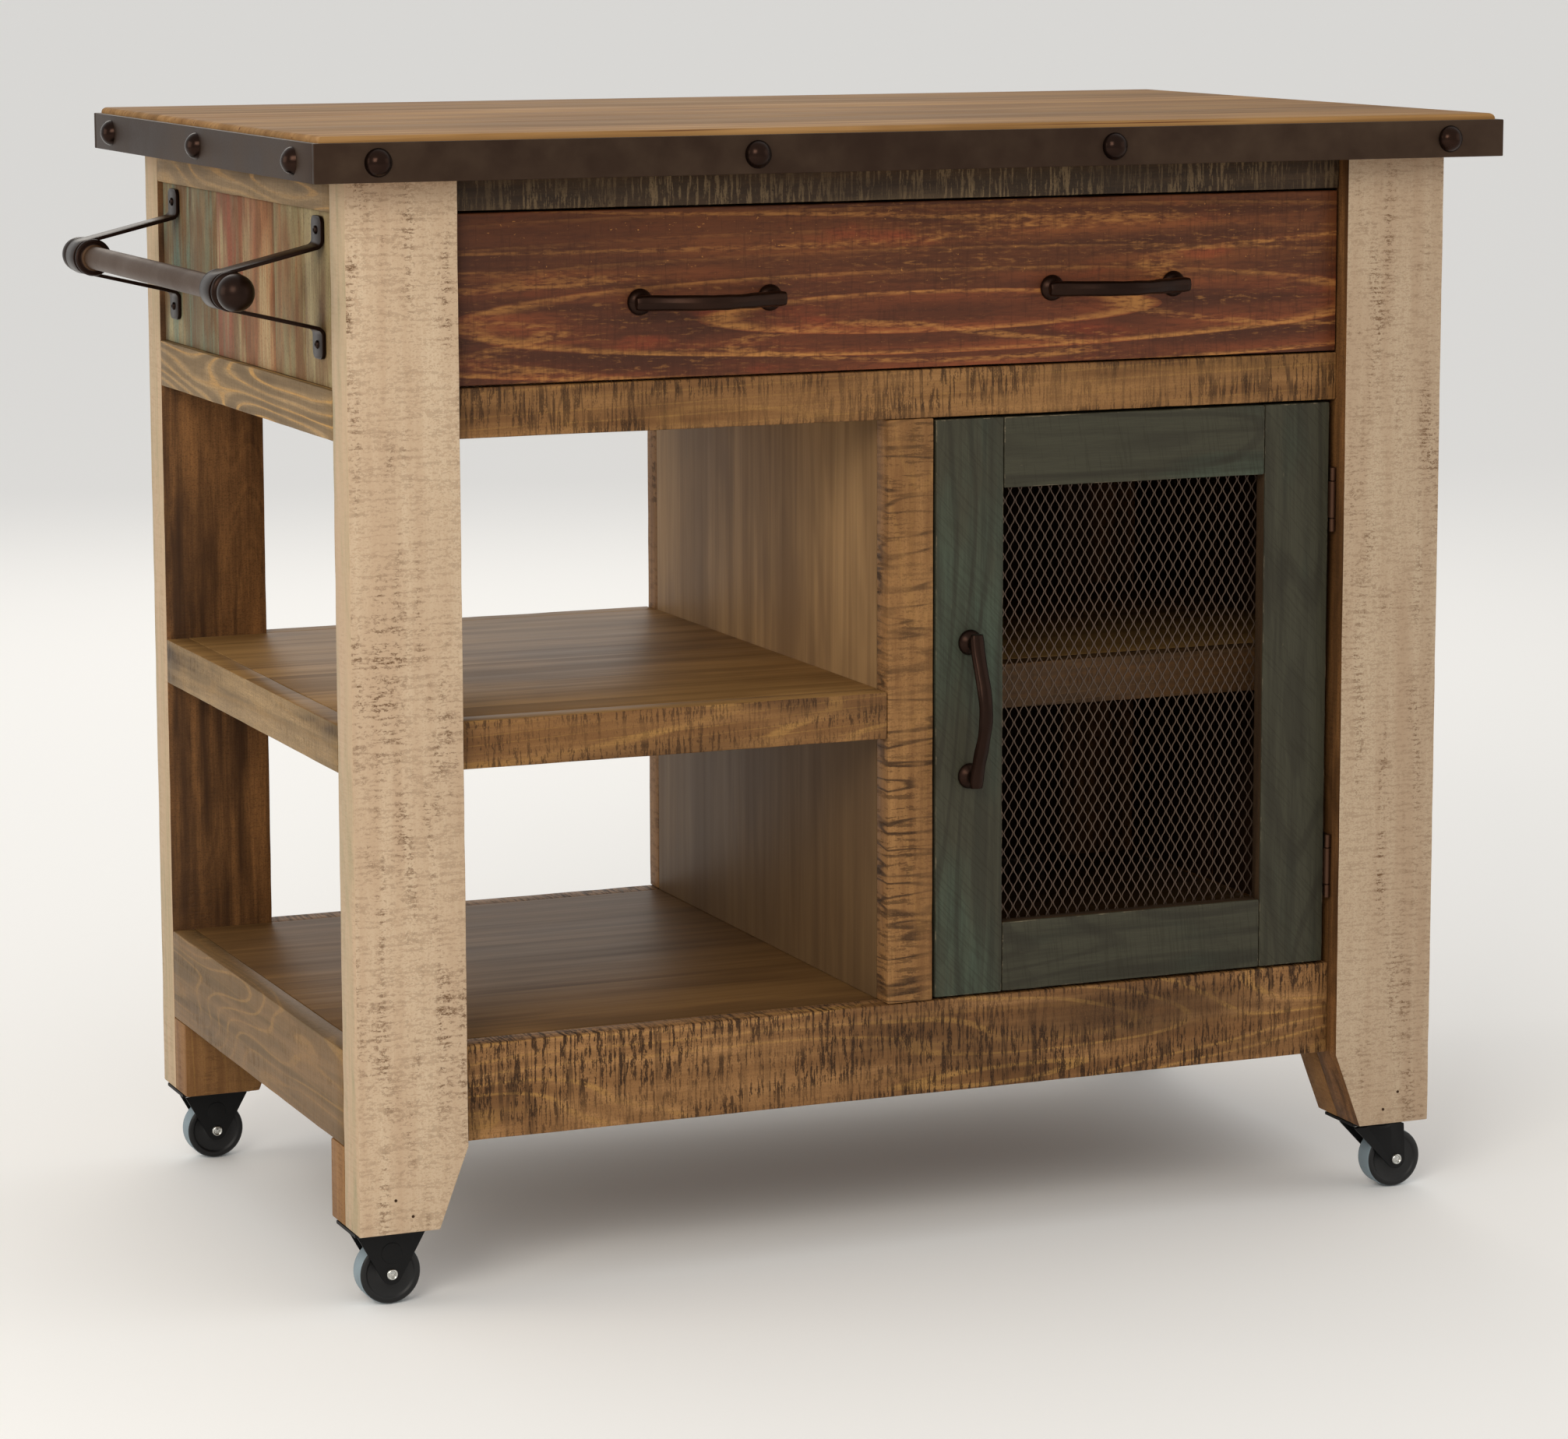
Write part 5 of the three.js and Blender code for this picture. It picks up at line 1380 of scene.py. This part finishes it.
class ISLANDCART_OT_towel_bar(CartOperator):
    """Turn the towel bar and bend its two straps"""

    bl_idname = "island_cart.towel_bar"
    bl_label = "Towel bar"

    def build(self, s, c):
        tube = coated_metal("Bronzed towel bar", c.bar, c.bronze, 0.45, 0.5, 0.3, 700, 0.05 * MM)
        dark = coated_metal("Bronzed straps", c.cast, c.cast_warm, 0.34, 0.85, 0.3, 500, 0.08 * MM)
        lo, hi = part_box("towel_bar")
        strap_lo, strap_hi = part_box("towel_strap_front")
        axis_x, axis_z = (lo.x + hi.x) / 2, (lo.z + hi.z) / 2
        middle_y = (lo.y + hi.y) / 2
        strap_y = (strap_lo.y + strap_hi.y) / 2 - middle_y
        tip = hi.y - middle_y
        reach = abs(strap_y)
        groove = (strap_hi.y - strap_lo.y) / 2 + 0.3 * MM
        groove_r, ball_r = 13 * MM, 14.5 * MM
        ring = groove + 6 * MM
        ball = tip - ball_r
        neck = 9.6 * MM
        half = []
        for start, pairs in (
            (-ring, ((9.5, -2), (11, -1.2), (11.7, 0), (13.9, 0.2), (15, 1.2), (15.5, 2.8))),
            (-groove, ((15.2, -1), (14.5, 0), (13, 0))),
            (groove, ((13, 0), (14.5, 0), (15.2, 1))),
            (ring, ((15.5, -2.8), (14.9, -1.2), (13.5, -0.2), (11, 0.1), (9.6, 0.8))),
        ):
            half += [(r, reach + start + h) for r, h in in_mm(*pairs)]
        first = acos(-(ball - reach - ring - 0.8 * MM) / hypot(neck, ball - reach - ring - 0.8 * MM))
        rings = 14
        for i in range(1, rings + 1):
            a = first * (1 - i / rings)
            half.append((ball_r * sin(a), ball + ball_r * cos(a)))
        half[-1] = (0.0, tip)
        profile = [(r, -h) for r, h in reversed(half)] + half
        bar = turned(profile, (axis_x, middle_y, axis_z), (0, 1, 0), 48)

        def pick(f):
            return int(abs(f.calc_center_median().y - middle_y) > reach - ring - 1.5 * MM)

        piece("towel_bar_turned", bar, "cart", [tube, dark], ["towel_bar"], 35, pick)
        for which in ("front", "back"):
            self.strap(which, axis_x, axis_z, groove_r, dark)

    def strap(self, which, axis_x, axis_z, groove_r, metal):
        """A flat strap from the panel round the bar and back, with a screwed plate at each end."""
        node = f"towel_strap_{which}"
        lo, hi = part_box(node)
        thickness = 3 * MM
        plate = 22 * MM
        wall = hi.x
        mid_r = groove_r + 0.3 * MM + thickness / 2
        plate_x = wall - thickness / 2
        bend_z = (hi.z - lo.z) / 2 - plate
        bearing = atan2(bend_z, plate_x - axis_x)
        leave = bearing + acos(mid_r / hypot(bend_z, plate_x - axis_x))
        bm = bmesh.new()
        y = lo.y
        points = [(plate_x, hi.z), (plate_x, axis_z + bend_z)]
        arc = 26
        for i in range(arc + 1):
            a = leave + (2 * pi - 2 * leave) * i / arc
            points.append((axis_x + mid_r * cos(a), axis_z + mid_r * sin(a)))
        points += [(plate_x, axis_z - bend_z), (plate_x, lo.z)]
        verts = [bm.verts.new((x, y, z)) for x, z in points]
        edges = [bm.edges.new(pair) for pair in zip(verts, verts[1:])]
        grown = bmesh.ops.extrude_edge_only(bm, edges=edges)
        bmesh.ops.translate(bm, vec=(0, hi.y - lo.y, 0), verts=new_verts(grown))
        bends = [
            e
            for e in bm.edges
            if abs(e.verts[0].co.y - e.verts[1].co.y) > MM
            and abs(e.verts[0].co.x - plate_x) < 0.01 * MM
            and abs(abs(e.verts[0].co.z - axis_z) - bend_z) < 0.01 * MM
        ]
        ease(bm, bends, 3.5 * MM, 4)
        bmesh.ops.recalc_face_normals(bm, faces=bm.faces)
        bmesh.ops.solidify(bm, geom=bm.faces[:], thickness=thickness)
        wanted, found = wall - thickness / 2, [v.co.x for v in bm.verts if abs(v.co.z - hi.z) < 0.01 * MM]
        bmesh.ops.translate(bm, vec=(wanted - (min(found) + max(found)) / 2, 0, 0), verts=bm.verts)
        corners = [
            e
            for e in bm.edges
            if abs(e.verts[0].co.x - e.verts[1].co.x) > thickness * 0.8
            and abs(e.verts[0].co.z - e.verts[1].co.z) < 0.01 * MM
            and min(abs(e.verts[0].co.z - hi.z), abs(e.verts[0].co.z - lo.z)) < 0.01 * MM
        ]
        ease(bm, corners, 6 * MM, 5)
        ease(bm, sharp_edges(bm, 0.9), 0.5 * MM, 2)
        bmesh.ops.recalc_face_normals(bm, faces=bm.faces)
        piece(node + "_bent", bm, "cart", metal, [node], 35)
        centre = (lo.y + hi.y) / 2
        screws = [
            screw((wall - thickness, centre, z), (-1, 0, 0)) for z in (hi.z - plate * 0.5, lo.z + plate * 0.5)
        ]
        piece(node + "_screws", together(*screws), "cart", metal, smooth=40)


# ---- Casters ----


class ISLANDCART_OT_casters(CartOperator):
    """Fit the two rigid casters and the two swivelling ones"""

    bl_idname = "island_cart.casters"
    bl_label = "Casters"

    def build(self, s, c):
        steel = coated_metal("Black caster steel", c.black, c.wheel, 0.55, 0.1, 0.5, 500, 0.06 * MM)
        zinc = coated_metal("Zinc axle heads", c.zinc, c.zinc, 0.28, 1.0, 0.2, 900, 0.03 * MM)
        side = moulded_black("Wheel sides", c.wheel, 0.5)
        tread = moulded_black("Wheel treads", c.tread, 0.62, 300)
        for end in ("front", "back"):
            for hand in ("left", "right"):
                self.wheel(f"{end}_{hand}", side, tread)
                node = f"caster_fork_{end}_{hand}"
                body = "cart" if hand == "left" else f"swivel_{end}_right"
                self.bevelled(node, body, steel)
                self.axle(f"{end}_{hand}", body, zinc, steel)
                if hand == "right":
                    self.bevelled(f"caster_plate_{end}_right", "cart", steel)
                self.bolts(f"{end}_{hand}", zinc)

    def bevelled(self, node, body, steel):
        """The node's own shape with its edges broken, as pressed steel has."""
        bm = bmesh.new()
        bm.from_mesh(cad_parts[node].data)
        bmesh.ops.remove_doubles(bm, verts=bm.verts, dist=1e-5)
        bmesh.ops.dissolve_limit(bm, angle_limit=radians(1), verts=bm.verts, edges=bm.edges)
        made = piece(node + "_pressed", bm, body, steel, [node])
        edge = made.modifiers.new("Broken edges", "BEVEL")
        edge.width = 0.35 * MM
        edge.segments = 2
        edge.limit_method = "ANGLE"
        edge.angle_limit = radians(38)
        edge.use_clamp_overlap = True
        edge.harden_normals = True

    def wheel(self, which, side, tread):
        lo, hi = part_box(f"caster_wheel_{which}")
        radius = (hi.z - lo.z) / 2
        half = (hi.y - lo.y) / 2
        centre = (lo + hi) / 2
        outline = [
            (3.4, 0), (7.5, 0), (8.2, 0.3), (10, 1.3), (11, 1.6), (18.4, 1.6), (19.2, 1.2), (20, 0.2), (20.6, 0),
            (22.4, 0), (23.6, 0.35), (24.5, 1.2), (24.9, 2.3), (25, 3.2),
        ]
        near = [(r * MM * radius / 0.025, -half + d * MM) for r, d in outline]
        profile = near + [(r, -h) for r, h in reversed(near)]
        bm = turned(profile, centre, (0, 1, 0), 64)

        def pick(f):
            out = f.calc_center_median() - centre
            return 1 if hypot(out.x, out.z) > radius - 0.35 * MM and abs(f.normal.y) < 0.5 else 0

        node, body = f"caster_wheel_{which}", f"wheel_{which}"
        piece(node + "_moulded", bm, body, [side, tread], [node], 40, pick)

    def axle(self, which, body, zinc, steel):
        """Hollow rivet heads on both ends of the axle."""
        wheel_lo, wheel_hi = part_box(f"caster_wheel_{which}")
        centre = (wheel_lo + wheel_hi) / 2
        outside = (wheel_hi.y - wheel_lo.y) / 2 + 3.5 * MM
        head = in_mm(
            (0, -0.1), (4.6, -0.1), (4.7, 0.7), (4.2, 1.8), (3.5, 2.2), (2.9, 1.9), (2.6, 1.3), (2, 1.5), (1, 1.8),
            (0, 1.9),
        )

        def pair(profile, above, steps):
            ends = ((sign, centre + Vector((0, sign * outside, above))) for sign in (-1, 1))
            return together(*(turned(profile, place, (0, sign, 0), steps) for sign, place in ends))

        piece(f"caster_axle_{which}", pair(head, 0, 24), body, zinc, smooth=40)
        if which.endswith("left"):
            pressed = in_mm((0, -0.1), (8.6, -0.1), (8.3, 0.35), (7.2, 0.55), (0, 0.55))
            piece(f"caster_boss_{which}", pair(pressed, 17 * MM, 32), body, steel, smooth=40)

    def bolts(self, which, zinc):
        """Screw heads under the corners of the mounting plate."""
        node = f"caster_fork_{which}" if which.endswith("left") else f"caster_plate_{which}"
        lo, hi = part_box(node)
        middle_x = (lo.x + hi.x) / 2
        middle_y = sum(corner.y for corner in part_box(f"caster_wheel_{which}")) / 2
        under = hi.z - 2.5 * MM
        heads = [
            screw((middle_x + dx * 27 * MM, middle_y + dy * 18 * MM, under), (0, 0, -1), 3.2 * MM, 1.6 * MM)
            for dx in (-1, 1)
            for dy in (-1, 1)
        ]
        piece(f"caster_screws_{which}", together(*heads), "cart", zinc, smooth=40)


# ---- Stage ----


class ISLANDCART_OT_stage(CartOperator):
    """Set the pale floor, the soft lights and the camera"""

    bl_idname = "island_cart.stage"
    bl_label = "Stage"

    def build(self, s, c):
        scene = bpy.context.scene
        scene.view_settings.view_transform = "Standard"
        floor_mesh = bpy.data.meshes.new("floor")
        bm = bmesh.new()
        bmesh.ops.create_grid(bm, x_segments=1, y_segments=1, size=FLOOR_REACH)
        bmesh.ops.translate(bm, vec=(0, 0, -FLOOR_DROP), verts=bm.verts)
        bm.to_mesh(floor_mesh)
        bm.free()
        floor = bpy.data.objects.new("floor", floor_mesh)
        scene.collection.objects.link(floor)
        pale = Finish("Pale floor", specular=0.1)
        pale.shade = FLOOR_GREY
        floor_mesh.materials.append(pale.paint(0.9))

        world = bpy.data.worlds.new("Soft white room")
        scene.world = world
        world.use_nodes = True
        sky = world.node_tree.nodes["Background"]
        sky.inputs["Color"].default_value = SKY_TINT
        sky.inputs["Strength"].default_value = SKY_STRENGTH

        aim = Vector((0.0, 0.0, 0.45))
        for name, place, width, power in (
            ("Key softbox", (-2.6, -3.2, 2.6), 1.8, 66),
            ("Fill softbox", (3.4, -2.4, 1.6), 2.4, 10),
            ("Left softbox", (-3.6, 0.6, 1.4), 2.0, 26),
            ("Back softbox", (0.8, 3.6, 2.6), 2.4, 24),
        ):
            data = bpy.data.lights.new(name, "AREA")
            data.shape = "SQUARE"
            data.size = width
            data.color = LAMP_TINT
            data.energy = power
            lamp = bpy.data.objects.new(name, data)
            lamp.location = place
            lamp.rotation_euler = (aim - Vector(place)).to_track_quat("-Z", "Y").to_euler()
            scene.collection.objects.link(lamp)

        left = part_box("band_left")[0].x + RIVET_HEIGHT
        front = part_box("band_front")[0].y + RIVET_HEIGHT
        aside, before, height = CAMERA_STAND
        stand = Vector((left - aside, front - before, height))
        yaw, pitch, roll = CAMERA_TURN
        forward = Vector((sin(yaw) * cos(pitch), cos(yaw) * cos(pitch), -sin(pitch)))
        data = bpy.data.cameras.new("Camera")
        data.sensor_width = CAMERA_SENSOR
        data.lens = CAMERA_LENS
        data.shift_x, data.shift_y = CAMERA_SHIFT
        data.clip_end = CAMERA_REACH
        camera = bpy.data.objects.new("Camera", data)
        turn = forward.to_track_quat("-Z", "Y").to_matrix().to_4x4()
        camera.matrix_world = Matrix.Translation(stand) @ turn @ Matrix.Rotation(roll, 4, "Z")
        scene.collection.objects.link(camera)
        scene.camera = camera


# ---- Panel and main ----


OPERATORS = (
    ISLANDCART_OT_worktop,
    ISLANDCART_OT_band,
    ISLANDCART_OT_legs,
    ISLANDCART_OT_carcass,
    ISLANDCART_OT_shelves,
    ISLANDCART_OT_drawer,
    ISLANDCART_OT_pulls,
    ISLANDCART_OT_door,
    ISLANDCART_OT_hinges,
    ISLANDCART_OT_towel_bar,
    ISLANDCART_OT_casters,
    ISLANDCART_OT_stage,
)


class ISLANDCART_PT_panel(bpy.types.Panel):
    """The cart's pieces, sizes and colours"""

    bl_idname = "ISLANDCART_PT_panel"
    bl_label = "Island Cart"
    bl_space_type = "VIEW_3D"
    bl_region_type = "UI"
    bl_category = "Island Cart"

    def draw(self, context):
        for operator in OPERATORS:
            self.layout.operator(operator.bl_idname)
        for group in (context.scene.island_cart_sizes, context.scene.island_cart_colours):
            box = self.layout.box()
            for name in group.bl_rna.properties.keys():
                if name not in ("rna_type", "name"):
                    box.prop(group, name)


CLASSES = (IslandCartSizes, IslandCartColours, *OPERATORS, ISLANDCART_PT_panel)


def register():
    for cls in CLASSES:
        bpy.utils.register_class(cls)
    bpy.types.Scene.island_cart_sizes = PointerProperty(type=IslandCartSizes)
    bpy.types.Scene.island_cart_colours = PointerProperty(type=IslandCartColours)


def unregister():
    del bpy.types.Scene.island_cart_colours
    del bpy.types.Scene.island_cart_sizes
    for cls in reversed(CLASSES):
        bpy.utils.unregister_class(cls)


def main():
    register()
    for operator in OPERATORS:
        group, name = operator.bl_idname.split(".")
        getattr(getattr(bpy.ops, group), name)()
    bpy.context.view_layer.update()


if __name__ == "__main__":
    main()
